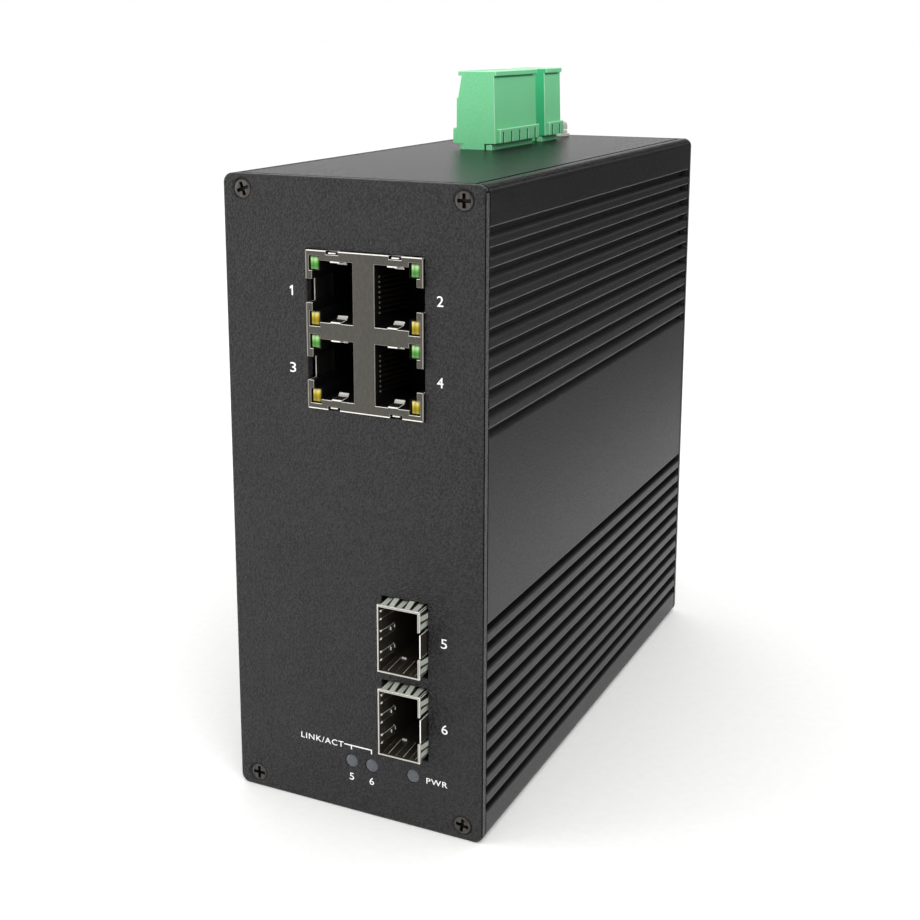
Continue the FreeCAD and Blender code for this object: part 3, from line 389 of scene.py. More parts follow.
# Natural anodised aluminium of the rail clip: pale silver grey with long die lines.
CLIP_ALUMINIUM = AnodisedExtrusion("natural_anodised_extrusion", "#b4b6b8", "#a4a6a8", 0.40, 0.30, 0.006,
                                   1.6, 30.0)
# Plated spring strip: pale, faintly greenish silver with a soft shine.
SPRING_STRIP = SheetMetal("plated_spring_strip", "#dfe4d8", "#c6cbbf", 0.34, 0.30, 0.004, 0.4)
# The same between the fingers of a collar, dark for want of light.
STRIP_SHADE = SheetMetal("shaded_strip_edge", "#23231f", "#171714", 0.50, 0.25, 0.004, 0.5)
# Tin plated steel of the socket shield: grey rolled sheet, a blurred mirror.
SHIELD_TIN = SheetMetal("tin_plated_sheet", "#5a5853", "#504e49", 0.42, 0.35, 0.008, 1.0, 3.0)
# The same where it is sheared or folded towards the light: painted highlights in thin bright lines.
SHIELD_EDGE = SheetMetal("painted_highlight_tin_edge", "#f6f3ec", "#e4e1d9", 0.38, 0.25, 0.004, 0.25)
# The same along edges that face aside: dimmer painted highlights in a middle grey.
SHIELD_SIDE_HIGHLIGHT = SheetMetal("painted_dim_highlight_tin_edge", "#97938a", "#837f77", 0.40, 0.25, 0.004, 0.4)
# The same inside the windows: painted shade, as dark as a mirror of black plastic.
SHIELD_INNER = SheetMetal("shaded_tin_spring", "#2b2926", "#1f1d1b", 0.50, 0.25, 0.004, 0.6)
# Nickel plated steel of the module cages in painted shade: warm and dark, as inside it mirrors its own walls.
CAGE_NICKEL = SheetMetal("painted_shade_nickel_sheet", "#4c473b", "#3d392f", 0.34, 0.30, 0.004, 0.6)
# The same where it is sheared or lanced: painted highlights in white lines and specks.
CAGE_EDGE = SheetMetal("painted_highlight_nickel_edge", "#ffffff", "#f2f1ee", 0.36, 0.25, 0.004, 0.1)
# The same round the front of a cage: painted light, a light grey beside the painted shade behind it.
CAGE_RIM = SheetMetal("painted_light_nickel_rim", "#bdb9b0", "#aaa69e", 0.40, 0.25, 0.004, 0.3)
# Filled thermoplastic of the socket insert: deep black with hardly any gloss.
JACK_BLACK = Moulding("black_moulded_insert", "#0b0b0c", "#070708", 0.60, 0.25, 0.010, 1.22)
# Gold plated contacts in painted shade: a dim brown gold, as they stand deep in the sockets.
CONTACT_GOLD = SheetMetal("painted_shade_gold_contact", "#2a251b", "#1d1912", 0.45, 0.20, 0.002, 0.8)
# The same on faces that look to the front: painted light, paler than the shaded rest.
CONTACT_TIP = SheetMetal("painted_light_contact_tip", "#857f70", "#6a6455", 0.30, 0.20, 0.002, 0.5)
# Clear tinted light pipes, unlit: glassy green and amber, deep below and pale above as a painted reflection,
# with painted glints.
LAMP_GREEN = LampLens("green_light_pipe", "#8fae62", "#34502c", 0.30, 0.80, 0.010, bands=(
    (0.16, "#6a9a58"), (0.30, "#3f8a3a"), (0.44, "#4a9836"), (0.60, "#86bf66"), (0.74, "#b9dca6"),
    (0.86, "#8dbb7c")))
LAMP_AMBER = LampLens("amber_light_pipe", "#5f5122", "#8f8446", 0.30, 0.80, 0.010, bands=(
    (0.16, "#b0a03c"), (0.30, "#948420"), (0.44, "#98840a"), (0.60, "#b89d14"), (0.74, "#d8c860"),
    (0.86, "#dcd088")))
# Diffused epoxy of the round lamps, unlit: a milky grey with a soft highlight.
LENS_GREY = Moulding("diffused_lamp_epoxy", "#565960", "#4a4d54", 0.30, 0.50, 0.010, softness=0.3)
# Glass laminate under solder mask: a glossy dark green.
BOARD_GREEN = Moulding("solder_masked_laminate", "#1d6b41", "#124a2c", 0.40, 0.60, 0.020)
# Moulded epoxy of chips and coils: matt black.
CHIP_BLACK = Moulding("moulded_epoxy_package", "#1d1d1f", "#161617", 0.60, 0.20, 0.010)
# Filled silicone of the heat pad: matt grey.
PAD_GREY = Moulding("filled_silicone_pad", "#8f929a", "#7f828a", 0.70, 0.40, 0.020)
# Milled aluminium of the heat block: bright silver with fine cutter lines.
HEAT_ALUMINIUM = SheetMetal("milled_aluminium", "#c3c5c7", "#a9abad", 0.30, 0.40, 0.006)
# Shrunk film on the capacitor cans: a smooth dark blue.
CAN_SLEEVE = Moulding("shrunk_can_sleeve", "#23233a", "#191929", 0.30, 0.60, 0.010)
# Polyamide of the terminals: a light, waxy green that lets some light in.
TERMINAL_GREEN = Moulding("green_polyamide", "#80dba0", "#74d195", 0.42, 0.30, 0.012, softness=0.2)
# The same along edges that face up or to the front right: painted highlights, paler.
TERMINAL_EDGE = Moulding("painted_highlight_polyamide_edge", "#c4f0d2", "#b4e8c5", 0.36, 0.30, 0.006, softness=0.2)
# The same on a front that stands close behind the other plug.
TERMINAL_SHADE = Moulding("green_polyamide_in_shade", "#3fbf83", "#36b278", 0.50, 0.30, 0.006)
# The same in slots and slits: painted shade, a deep green.
TERMINAL_DEEP = Moulding("painted_shade_polyamide_slot", "#17945a", "#107a48", 0.60, 0.30, 0.006)
# Zinc plated steel: bright, faintly warm silver.
PLATED_STEEL = SheetMetal("zinc_plated_steel", "#f4f1ea", "#dedbd3", 0.30, 0.60, 0.004, 0.3)
# The same in a cross recess: painted shade, dark grey.
PLATED_RECESS = SheetMetal("painted_shade_zinc_recess", "#4a4844", "#383633", 0.45, 0.40, 0.004, 0.5)
# Screen ink: a flat, even white.
LEGEND_WHITE = Moulding("white_screen_ink", "#f7f7f5", "#e4e4e2", 0.55, 0.45, 0.010)
# Paper and card of the studio: matt white and matt black.
FLOOR_PAPER = Moulding("pale_paper", "#fdfdfc", "#fafaf9", 0.95, 2.00, 0.010)
CARD_BLACK = Moulding("black_card", "#1a1a1a", "#141414", 0.95, 2.00, 0.010)


def link_piece(name: str, mesh: bmesh.types.BMesh, looks: Sequence[Finish]) -> bpy.types.Object:
    """Turns a bmesh into an object of the scene.

    Args:
        name: Name of the object.
        mesh: Its shape, which is freed.
        looks: Its finishes, in the order of its faces' material numbers.

    Returns:
        The new object.
    """
    data = bpy.data.meshes.new(name)
    mesh.to_mesh(data)
    mesh.free()
    for finish in looks:
        data.materials.append(finish.material())
    holder = bpy.data.objects.new(name, data)
    bpy.context.scene.collection.objects.link(holder)
    return holder


def make_piece(name: str, mesh: bmesh.types.BMesh, looks: Sequence[Finish],
               stands_for: Sequence[str] = ()) -> None:
    """Turns a finished bmesh into a piece that rides on the case.

    Args:
        name: Name of the piece.
        mesh: Its shape in the frame, which is freed.
        looks: Its finishes, in the order of its faces' material numbers.
        stands_for: CAD nodes that it replaces.
    """
    piece = link_piece(name, mesh, looks)
    piece.data.shade_smooth()
    piece.data.set_sharp_from_angle(angle=math.radians(SMOOTH_DEG))
    piece.modifiers.new("even_shading", "WEIGHTED_NORMAL").keep_sharp = True
    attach(piece, BODY)
    if stands_for:
        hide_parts(*stands_for)
    LOG.info("%s: %d faces of %s", name, len(piece.data.polygons), looks[0].name)


def sharp_edges(mesh: bmesh.types.BMesh) -> list[bmesh.types.BMEdge]:
    """Returns the edges where two faces meet at a sharp angle."""
    limit = math.radians(SHARP_DEG)
    return [edge for edge in mesh.edges if len(edge.link_faces) == 2 and edge.calc_face_angle() > limit]


def outer_edges(mesh: bmesh.types.BMesh) -> list[bmesh.types.BMEdge]:
    """Returns the sharp edges that stand out."""
    return [edge for edge in sharp_edges(mesh) if edge.is_convex]


def round_edges(mesh: bmesh.types.BMesh, edges: Sequence[bmesh.types.BMEdge], width: float, segments: int = 2,
                edge_highlight: EdgeHighlight = EdgeHighlight.NONE) -> list[bmesh.types.BMFace]:
    """Rounds edges and marks those with a painted highlight for the second finish.

    Args:
        mesh: Shape that the edges belong to.
        edges: Edges to round.
        width: Width of the rounding.
        segments: Faces across it.
        edge_highlight: Which of the new faces get a painted highlight.

    Returns:
        The faces of the rounding.
    """
    made = bmesh.ops.bevel(mesh, geom=edges, offset=width, offset_type="OFFSET", segments=segments,
                           profile=0.5, affect="EDGES", material=-1, loop_slide=False)
    for face in made["faces"]:
        face.normal_update()
        if edge_highlight.marks(face):
            face.material_index = MARKED
    return made["faces"]


def copied(node: str) -> bmesh.types.BMesh:
    """Copies a CAD node with its flat faces whole again.

    Args:
        node: Name of the node.

    Returns:
        The copy.
    """
    mesh = bmesh.new()
    mesh.from_mesh(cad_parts[node].data)
    bmesh.ops.remove_doubles(mesh, verts=mesh.verts, dist=WELD)
    bmesh.ops.dissolve_limit(mesh, angle_limit=math.radians(FLAT_DEG), verts=mesh.verts, edges=mesh.edges)
    bmesh.ops.connect_verts_concave(mesh, faces=[face for face in mesh.faces if len(face.verts) > 4])
    return mesh


def softened(node: str, width: float, edge_highlight: EdgeHighlight = EdgeHighlight.NONE) -> bmesh.types.BMesh:
    """Copies a CAD node and rounds its sharp edges.

    Args:
        node: Name of the node.
        width: Width of the rounding.
        edge_highlight: Which rounded edges get a painted highlight, when only those that stand out are
            rounded.

    Returns:
        The copy.
    """
    mesh = copied(node)
    round_edges(mesh, sharp_edges(mesh) if edge_highlight is EdgeHighlight.NONE else outer_edges(mesh), width, edge_highlight=edge_highlight)
    return mesh


def soften_node(node: str, looks: Sequence[Finish], width: float, edge_highlight: EdgeHighlight = EdgeHighlight.NONE) -> None:
    """Replaces a CAD node by its softened copy.

    Args:
        node: Name of the node.
        looks: Finish of the copy, and of its edges with painted highlights if it has them.
        width: Width of the rounding.
        edge_highlight: Which edges get a painted highlight.
    """
    make_piece(f"{node}_finished", softened(node, width, edge_highlight), looks, [node])


def dress_node(node: str, finish: Finish) -> None:
    """Gives a CAD node that keeps its own shape its material.

    Args:
        node: Name of the node.
        finish: Its material.
    """
    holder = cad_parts[node]
    if not holder.material_slots:
        holder.data.materials.append(None)
    for slot in holder.material_slots:
        slot.material = finish.material()
    LOG.info("%s: %s", node, finish.name)


def prism(outline: Sequence[Triple], step: Triple) -> bmesh.types.BMesh:
    """Extrudes a flat outline.

    Args:
        outline: Its corners in order.
        step: Way from the outline to the other end.

    Returns:
        The closed shape.
    """
    mesh = bmesh.new()
    face = mesh.faces.new([mesh.verts.new(corner) for corner in outline])
    grown = bmesh.ops.extrude_face_region(mesh, geom=[face])["geom"]
    far_end = [item for item in grown if isinstance(item, bmesh.types.BMVert)]
    bmesh.ops.translate(mesh, verts=far_end, vec=step)
    bmesh.ops.recalc_face_normals(mesh, faces=mesh.faces)
    return mesh


def lathe(profile: Sequence[Point], steps: int, angle: float = math.tau,
          rise: float = 0.0) -> bmesh.types.BMesh:
    """Spins a profile round the Z axis.

    Args:
        profile: Radius and height of each point, in metres.
        steps: Faces round the piece.
        angle: How far it goes round.
        rise: Height that the profile climbs on its way round.

    Returns:
        The spun shape.
    """
    mesh = bmesh.new()
    points = [mesh.verts.new((radius, 0, height)) for radius, height in profile]
    lines = [mesh.edges.new(pair) for pair in zip(points, points[1:])]
    bmesh.ops.spin(mesh, geom=points + lines, cent=(0, 0, 0), axis=(0, 0, 1), angle=angle, steps=steps,
                   dvec=(0, 0, rise / steps), use_merge=angle >= math.tau)
    bmesh.ops.remove_doubles(mesh, verts=mesh.verts, dist=WELD)
    bmesh.ops.recalc_face_normals(mesh, faces=mesh.faces)
    return mesh


def bar(low: Vector, high: Vector) -> bmesh.types.BMesh:
    """Makes a box between two corners.

    Args:
        low: Corner with the low values.
        high: Corner with the high values.

    Returns:
        The box.
    """
    mesh = bmesh.new()
    bmesh.ops.create_cube(mesh, size=1.0)
    bmesh.ops.scale(mesh, verts=mesh.verts, vec=high - low)
    bmesh.ops.translate(mesh, verts=mesh.verts, vec=(low + high) / 2)
    return mesh


def merged(parts: Iterable[bmesh.types.BMesh]) -> bmesh.types.BMesh:
    """Puts several shapes into one.

    Args:
        parts: The shapes, which are freed.

    Returns:
        One bmesh with all of them.
    """
    result = bmesh.new()
    for part in parts:
        carrier = bpy.data.meshes.new("carrier")
        part.to_mesh(carrier)
        part.free()
        result.from_mesh(carrier)
        bpy.data.meshes.remove(carrier)
    return result


def moved(mesh: bmesh.types.BMesh, place: Matrix) -> bmesh.types.BMesh:
    """Returns a shape after a move."""
    bmesh.ops.transform(mesh, matrix=place, verts=mesh.verts)
    return mesh


@dataclass(frozen=True)
class CrossScrew:
    """Screw with painted shade in its cross recess, its head's outer face at height zero and its shank below.
    """

    profile: tuple[Point, ...]
    shank: float
    length: float
    arm: float
    arm_width: float
    recess: float
    wall_lean: float = 0.4
    steps: int = 40

    def build(self) -> bmesh.types.BMesh:
        """Spins the head and shank, then sinks the cross into the open top.

        Returns:
            The screw along Z.
        """
        mesh = lathe(list(self.profile) + [(self.shank, -self.length), (0.0, -self.length)], self.steps)
        rim = [edge for edge in mesh.edges if edge.is_boundary]
        level = self.profile[0][1]
        half = self.arm_width / 2
        quarter = [(half, half), (half, self.arm), (-half, self.arm)]
        corners = []
        for turn in range(4):
            spin = Matrix.Rotation(turn * math.pi / 2, 3, "Z")
            corners += [mesh.verts.new(spin @ Vector((x, y, level))) for x, y in quarter]
        cross = mesh.faces.new(corners)
        bmesh.ops.triangle_fill(mesh, edges=rim + list(cross.edges), use_beauty=True)
        walls = bmesh.ops.inset_individual(mesh, faces=[cross], thickness=half * self.wall_lean,
                                           depth=-self.recess)["faces"]
        # The cross and its walls take the second finish, a painted shade.
        for face in walls + [cross]:
            face.material_index = MARKED
        bmesh.ops.recalc_face_normals(mesh, faces=mesh.faces)
        return mesh

    def darken_rim(self, mesh: bmesh.types.BMesh, radius: float) -> None:
        """Marks the slope of the head outside a radius for painted shade.

        Args:
            mesh: A built screw.
            radius: Where the slope begins.
        """
        for face in mesh.faces:
            if face.calc_center_median().xy.length > radius and abs(face.normal.z) < STRAIGHT:
                face.material_index = MARKED


@dataclass
class Case:
    """Finned walls, covers, panels and their corner screws."""

    wall_edge: float = 0.20 * MM
    seam: float = 0.45 * MM
    groove: float = 0.15 * MM
    crown: float = 66.0 * MM
    level: float = 0.93
    panel_edge: float = 0.18 * MM
    seat_radius: float = 2.4 * MM
    head_radius: float = 2.1 * MM
    head_face: float = 0.7 * MM
    head_rim: float = 0.30 * MM
    rim_ease: float = 0.3
    head_sunk: float = 0.22 * MM
    hand_turn: float = 0.35
    shank: float = 1.05 * MM
    screw_length: float = 9.0 * MM
    cross: Triple = (1.40 * MM, 0.72 * MM, 0.9 * MM)

    def build(self) -> None:
        """Builds and dresses the whole case."""
        for node in ("side_wall_left", "side_wall_right"):
            self.build_wall(node)
        for node in ("top_cover", "bottom_cover"):
            self.build_cover(node)
        for node in ("front_panel", "rear_panel"):
            self.build_panel(node)
        self.build_screws()

    def build_panel(self, node: str) -> None:
        """Copies a panel, lighter on its cut sides and dark along both joints beside them.

        Args:
            node: CAD panel that it stands for.
        """
        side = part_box(node)[1].x - self.panel_edge
        looks = [PANEL_BLACK, PANEL_SIDE, JOINT_SHADE]
        mesh = softened(node, self.panel_edge)
        for face in mesh.faces:
            if abs(face.calc_center_median().x) > side:
                finish = PANEL_SIDE if abs(face.normal.x) > STRAIGHT else JOINT_SHADE
                face.material_index = looks.index(finish)
        make_piece(f"{node}_finished", mesh, looks, [node])

    def build_wall(self, node: str) -> None:
        """Copies a finned wall with painted highlights on its fin edges, painted light in its upper grooves
        and grained top and bottom corners.

        Args:
            node: CAD wall that it stands for.
        """
        low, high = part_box(node)
        outer = max(-low.x, high.x)
        looks = [CASE_BLACK, CASE_EDGE, CASE_GROOVE, CASE_CROWN, COVER_BLACK, JOINT_SHADE]
        mesh = softened(node, self.wall_edge, EdgeHighlight.OUTER)
        for face in mesh.faces:
            middle = face.calc_center_median()
            in_groove = face.material_index != MARKED and abs(middle.x) < outer - self.groove
            if middle.y < low.y + self.wall_edge and -STRAIGHT < face.normal.y < -LEANING:
                face.material_index = looks.index(JOINT_SHADE)
            elif abs(middle.z - CASE_MIDDLE) > self.crown:
                level = abs(face.normal.z) > self.level
                face.material_index = looks.index(COVER_BLACK if level else CASE_CROWN)
            # Upper grooves take the painted light.
            elif in_groove and middle.z > CASE_MIDDLE:
                face.material_index = looks.index(CASE_GROOVE)
        make_piece(f"{node}_finished", mesh, looks, [node])

    def build_cover(self, node: str) -> None:
        """Copies a cover and breaks the long edges that it meets the walls with, which stay dark.

        Args:
            node: CAD cover that it stands for.
        """
        looks = [COVER_BLACK, JOINT_SHADE]
        mesh = copied(node)
        outer = max(abs(vert.co.z - CASE_MIDDLE) for vert in mesh.verts)
        level = [vert for vert in mesh.verts if abs(abs(vert.co.z - CASE_MIDDLE) - outer) < WELD]
        reach = max(vert.co.x for vert in level)
        rims = {vert for vert in level if abs(abs(vert.co.x) - reach) < WELD}
        seams = [edge for edge in outer_edges(mesh) if rims.issuperset(edge.verts)]
        for face in round_edges(mesh, seams, self.seam):
            face.material_index = looks.index(JOINT_SHADE)
        make_piece(f"{node}_finished", mesh, looks, [node])

    def screw_places(self) -> list[Matrix]:
        """Finds the corner screws from the box of the CAD ones.

        Returns:
            A place for each, turned by hand as far as it went.
        """
        low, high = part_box("panel_screws")
        sides = (low.x + self.seat_radius, high.x - self.seat_radius)
        levels = (low.z + self.seat_radius, high.z - self.seat_radius)
        faces = ((low.y + self.head_sunk, Facing.FRONT), (high.y - self.head_sunk, Facing.REAR))
        places = []
        for y, facing in faces:
            for x in sides:
                for z in levels:
                    tightened = Matrix.Rotation(self.hand_turn * len(places) ** 2, 4, "Z")
                    places.append(Matrix.Translation((x, y, z)) @ facing.turn() @ tightened)
        return places

    def build_screws(self) -> None:
        """Builds the countersunk cross-slot screws of both panels, with painted shade in their recesses and
        on their slopes.
        """
        head, rim = self.head_radius, self.head_rim
        ease = rim * self.rim_ease
        profile = ((head - self.head_face, 0.0), (head - rim, 0.0), (head - ease, -ease), (head, -rim),
                   (self.shank, self.shank - head - rim))
        screw = CrossScrew(profile, self.shank, self.screw_length, *self.cross)
        parts = []
        for place in self.screw_places():
            part = screw.build()
            screw.darken_rim(part, head - rim)
            parts.append(moved(part, place))
        looks = [SCREW_BLACK, SCREW_RECESS_SHADE]
        make_piece("panel_cross_screws", merged(parts), looks, ["panel_screws"])


@dataclass
class Legends:
    """White print on the front panel: socket numbers, words and the bracket line of the indicators."""

    ink: float = 0.03 * MM
    sockets: tuple[tuple[str, Point], ...] = (
        ("1", (-13.4 * MM, 111.2 * MM)), ("2", (19.7 * MM, 111.55 * MM)), ("3", (-13.4 * MM, 95.35 * MM)),
        ("4", (19.7 * MM, 95.65 * MM)), ("5", (20.5 * MM, 42.05 * MM)), ("6", (20.65 * MM, 23.5 * MM)))
    number: Point = (1.38 * MM, 2.05 * MM)
    one_width: float = 0.72 * MM
    small_number: Point = (1.05 * MM, 1.6 * MM)
    small_number_level: float = 7.9 * MM
    link_act: Point = (10.4 * MM, 1.3 * MM)
    link_act_place: Point = (-8.2 * MM, 14.75 * MM)
    power: Point = (4.8 * MM, 1.25 * MM)
    power_place: Point = (18.9 * MM, 11.25 * MM)
    spacing: float = 1.12
    boldness: float = 0.004
    half_thick: float = 0.5
    line_width: float = 0.26 * MM
    bracket_level: float = 15.0 * MM
    bracket_start: float = -2.8 * MM
    bracket_drop: float = 0.9 * MM
    one: tuple[Point, ...] = ((0.30, 0.0), (0.50, 0.0), (0.50, 1.0), (0.36, 1.0), (0.06, 0.80), (0.06, 0.60),
                              (0.30, 0.74))

    def build(self) -> None:
        """Prints every legend."""
        for digit, place in self.sockets:
            width = self.one_width if digit == "1" else self.number[0]
            self.print_word(f"legend_socket_{digit}", digit, (width, self.number[1]), place)
        for digit in ("5", "6"):
            low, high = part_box(f"indicator_{digit}")
            middle = ((low.x + high.x) / 2, self.small_number_level)
            self.print_word(f"legend_indicator_{digit}", digit, self.small_number, middle)
        self.print_word("legend_link_act", "LINK/ACT", self.link_act, self.link_act_place)
        self.print_word("legend_power", "PWR", self.power, self.power_place)
        self.print_bracket()

    def glyphs(self, word: str) -> bmesh.types.BMesh:
        """Makes the solid letters of a word, lying flat. The figure one has an outline of its own.

        Args:
            word: What is printed.

        Returns:
            The letters, to be sized.
        """
        if word == "1":
            return prism([(x, y, -self.half_thick) for x, y in self.one], (0.0, 0.0, 2 * self.half_thick))
        curve = bpy.data.curves.new("print", "FONT")
        curve.body = word
        curve.extrude = self.half_thick
        curve.space_character = self.spacing
        curve.offset = self.boldness
        holder = bpy.data.objects.new("print", curve)
        bpy.context.scene.collection.objects.link(holder)
        data = bpy.data.meshes.new_from_object(holder.evaluated_get(bpy.context.evaluated_depsgraph_get()))
        mesh = bmesh.new()
        mesh.from_mesh(data)
        bmesh.ops.remove_doubles(mesh, verts=mesh.verts, dist=WELD)
        bpy.data.objects.remove(holder)
        bpy.data.curves.remove(curve)
        bpy.data.meshes.remove(data)
        return mesh

    def print_word(self, name: str, word: str, size: Point, place: Point) -> None:
        """Prints a word as a thin film on the panel.

        Args:
            name: Name of the piece.
            word: What is printed.
            size: Width of the word and height of its letters.
            place: Middle of the word, across and up.
        """
        mesh = self.glyphs(word)
        xs = [vert.co.x for vert in mesh.verts]
        ys = [vert.co.y for vert in mesh.verts]
        across, up = size[0] / (max(xs) - min(xs)), size[1] / (max(ys) - min(ys))
        x, z = place
        centred = Matrix.Translation((-(min(xs) + max(xs)) / 2, -(min(ys) + max(ys)) / 2, 0))
        sized = Matrix.Diagonal((across, up, self.ink, 1))
        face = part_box("front_panel")[0].y - self.ink / 2
        moved(mesh, Matrix.Translation((x, face, z)) @ Facing.FRONT.turn() @ sized @ centred)
        make_piece(name, mesh, [LEGEND_WHITE])

    def print_bracket(self) -> None:
        """Prints the line that leads from the words to the two indicators."""
        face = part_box("front_panel")[0].y
        five, six = (sum(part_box(f"indicator_{digit}"), Vector()).x / 2 for digit in ("5", "6"))
        half = self.line_width / 2
        top = self.bracket_level
        spans = [(self.bracket_start, six + half, top - half, top + half)]
        spans += [(x - half, x + half, top - self.bracket_drop, top - half) for x in (five, six)]
        bars = [bar(Vector((left, face - self.ink, low)), Vector((right, face, high)))
                for left, right, low, high in spans]
        make_piece("legend_bracket", merged(bars), [LEGEND_WHITE])


@dataclass
class SocketBlock:
    """Shielded block of four network sockets with its lamps."""

    fold: float = 0.20 * MM
    shield_edge: float = 0.08 * MM
    sheet: float = 0.6 * MM
    spring_front: float = 0.5
    housing_edge: float = 0.06 * MM
    lamp_edge: float = 0.95 * MM
    lamp_rings: int = 5
    sockets: tuple[int, ...] = (1, 2, 3, 4)
    slot_tab: Triple = (1.6 * MM, 0.8 * MM, 0.26 * MM)
    slot_tab_in: Point = (6.0 * MM, 0.45 * MM)
    roll: Triple = (2.1 * MM, 0.27 * MM, 0.30 * MM)
    roll_in: float = 6.65 * MM
    roll_proud: float = 0.03 * MM
    window_half: float = 6.2 * MM
    first_row: float = 8.2 * MM
    row_pitch: float = 15.8 * MM

    def build(self) -> None:
        """Builds and dresses the block."""
        self.build_folds()
        self.build_shield()
        self.build_tabs()
        soften_node("jack_housing", [JACK_BLACK], self.housing_edge)
        for number in self.sockets:
            self.build_contacts(f"jack_contacts_{number}")
            self.build_lamp(f"link_lamp_{number}", LAMP_GREEN, Slot.GREEN_LAMP)
            self.build_lamp(f"activity_lamp_{number}", LAMP_AMBER, Slot.AMBER_LAMP)

    def build_folds(self) -> None:
        """Builds painted highlights along the fold round the shield's front, duller up the sides."""
        low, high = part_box("jack_shield")
        middle = (low + high) / 2
        looks = [SHIELD_EDGE, SHIELD_SIDE_HIGHLIGHT]
        sheet = copied("jack_shield")
        parts = []
        for edge in sharp_edges(sheet):
            if not self.on_outline(edge, low, high):
                continue
            start, end = (Vector(map(pick, *(vert.co for vert in edge.verts))) for pick in (min, max))
            upright = end.z - start.z > WELD
            for axis in range(3):
                if end[axis] - start[axis] < WELD:
                    at_low = start[axis] < middle[axis]
                    start[axis] -= self.roll_proud / 2 if at_low else self.fold
                    end[axis] += self.fold if at_low else self.roll_proud / 2
            part = bar(start, end)
            for face in part.faces:
                face.material_index = looks.index(SHIELD_SIDE_HIGHLIGHT if upright else SHIELD_EDGE)
            parts.append(part)
        sheet.free()
        make_piece("jack_shield_folds", merged(parts), looks)

    def build_shield(self) -> None:
        """Rounds the shield's sheared edges with painted highlights, bright where they face up, and paints
        shade on the springs inside, with a painted highlight on their fronts.
        """
        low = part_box("jack_shield")[0]
        looks = [SHIELD_TIN, SHIELD_EDGE, SHIELD_SIDE_HIGHLIGHT, SHIELD_INNER]
        mesh = copied("jack_shield")
        for face in round_edges(mesh, outer_edges(mesh), self.shield_edge):
            face.material_index = looks.index(SHIELD_EDGE if face.normal.z > LEANING else SHIELD_SIDE_HIGHLIGHT)
        for face in mesh.faces:
            inside = face.calc_center_median().y > low.y + self.sheet
            if inside and face.material_index != looks.index(SHIELD_EDGE):
                outward = face.normal.y < -self.spring_front
                face.material_index = looks.index(SHIELD_EDGE if outward else SHIELD_INNER)
        make_piece("jack_shield_finished", mesh, looks, ["jack_shield"])

    def on_outline(self, edge: bmesh.types.BMEdge, low: Vector, high: Vector) -> bool:
        """Tells whether an edge lies on the front outline of the shield.

        Args:
            edge: Edge of the shield.
            low: Low corner of the shield's box.
            high: High corner of it.

        Returns:
            True for an edge where the front face meets a side.
        """
        at_front = all(abs(vert.co.y - low.y) < WELD for vert in edge.verts)
        sides = ((0, low.x), (0, high.x), (2, low.z), (2, high.z))
        return at_front and any(
            all(abs(vert.co[axis] - place) < WELD for vert in edge.verts) for axis, place in sides)

    def build_tabs(self) -> None:
        """Builds the tabs in the edge slots and the rolled roots of the springs in the windows, all in
        painted highlight.
        """
        low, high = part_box("jack_shield")
        across, deep, tall = self.slot_tab
        parts = []
        for x in (low.x + self.slot_tab_in[0], high.x - self.slot_tab_in[0]):
            for z in (low.z + self.slot_tab_in[1], high.z - self.slot_tab_in[1]):
                start = Vector((x - across / 2, low.y + self.roll_proud, z - tall / 2))
                parts.append(bar(start, start + Vector((across, deep, tall))))
        across, deep, tall = self.roll
        for x in (low.x + self.roll_in, high.x - self.roll_in):
            for row in (0, 1):
                middle = high.z - self.first_row - row * self.row_pitch
                for z in (middle - self.window_half, middle + self.window_half - tall):
                    level = z + math.copysign(WELD, middle - z)
                    start = Vector((x - across / 2, low.y - self.roll_proud, level))
                    parts.append(bar(start, start + Vector((across, deep, tall))))
        mesh = merged(parts)
        round_edges(mesh, sharp_edges(mesh), self.shield_edge)
        make_piece("jack_shield_tabs", mesh, [SHIELD_EDGE])

    def build_contacts(self, node: str) -> None:
        """Copies a row of contacts, with painted light on the faces that look to the front.

        Args:
            node: CAD contacts that it stands for.
        """
        looks = [CONTACT_GOLD, CONTACT_TIP]
        mesh = copied(node)
        for face in mesh.faces:
            face.material_index = looks.index(CONTACT_TIP if face.normal.y < -STRAIGHT else CONTACT_GOLD)
        make_piece(f"{node}_plated", mesh, looks, [node])

    def build_lamp(self, node: str, finish: Finish, slot: Slot) -> None:
        """Builds one lens as a bar with a pillowed front, mapped from left to right.

        Args:
            node: CAD lamp that it stands for.
            finish: Its material.
            slot: Not used.
        """
        low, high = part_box(node)
        mesh = bar(low, high)
        front = [edge for edge in mesh.edges if all(vert.co.y < low.y + WELD for vert in edge.verts)]
        round_edges(mesh, front, self.lamp_edge, self.lamp_rings)
        layer = mesh.loops.layers.uv.new("across")
        for face in mesh.faces:
            for loop in face.loops:
                loop[layer].uv = ((loop.vert.co.x - low.x) / (high.x - low.x),
                                  (loop.vert.co.z - low.z) / (high.z - low.z))
        make_piece(f"{node}_lens", mesh, [finish], [node])


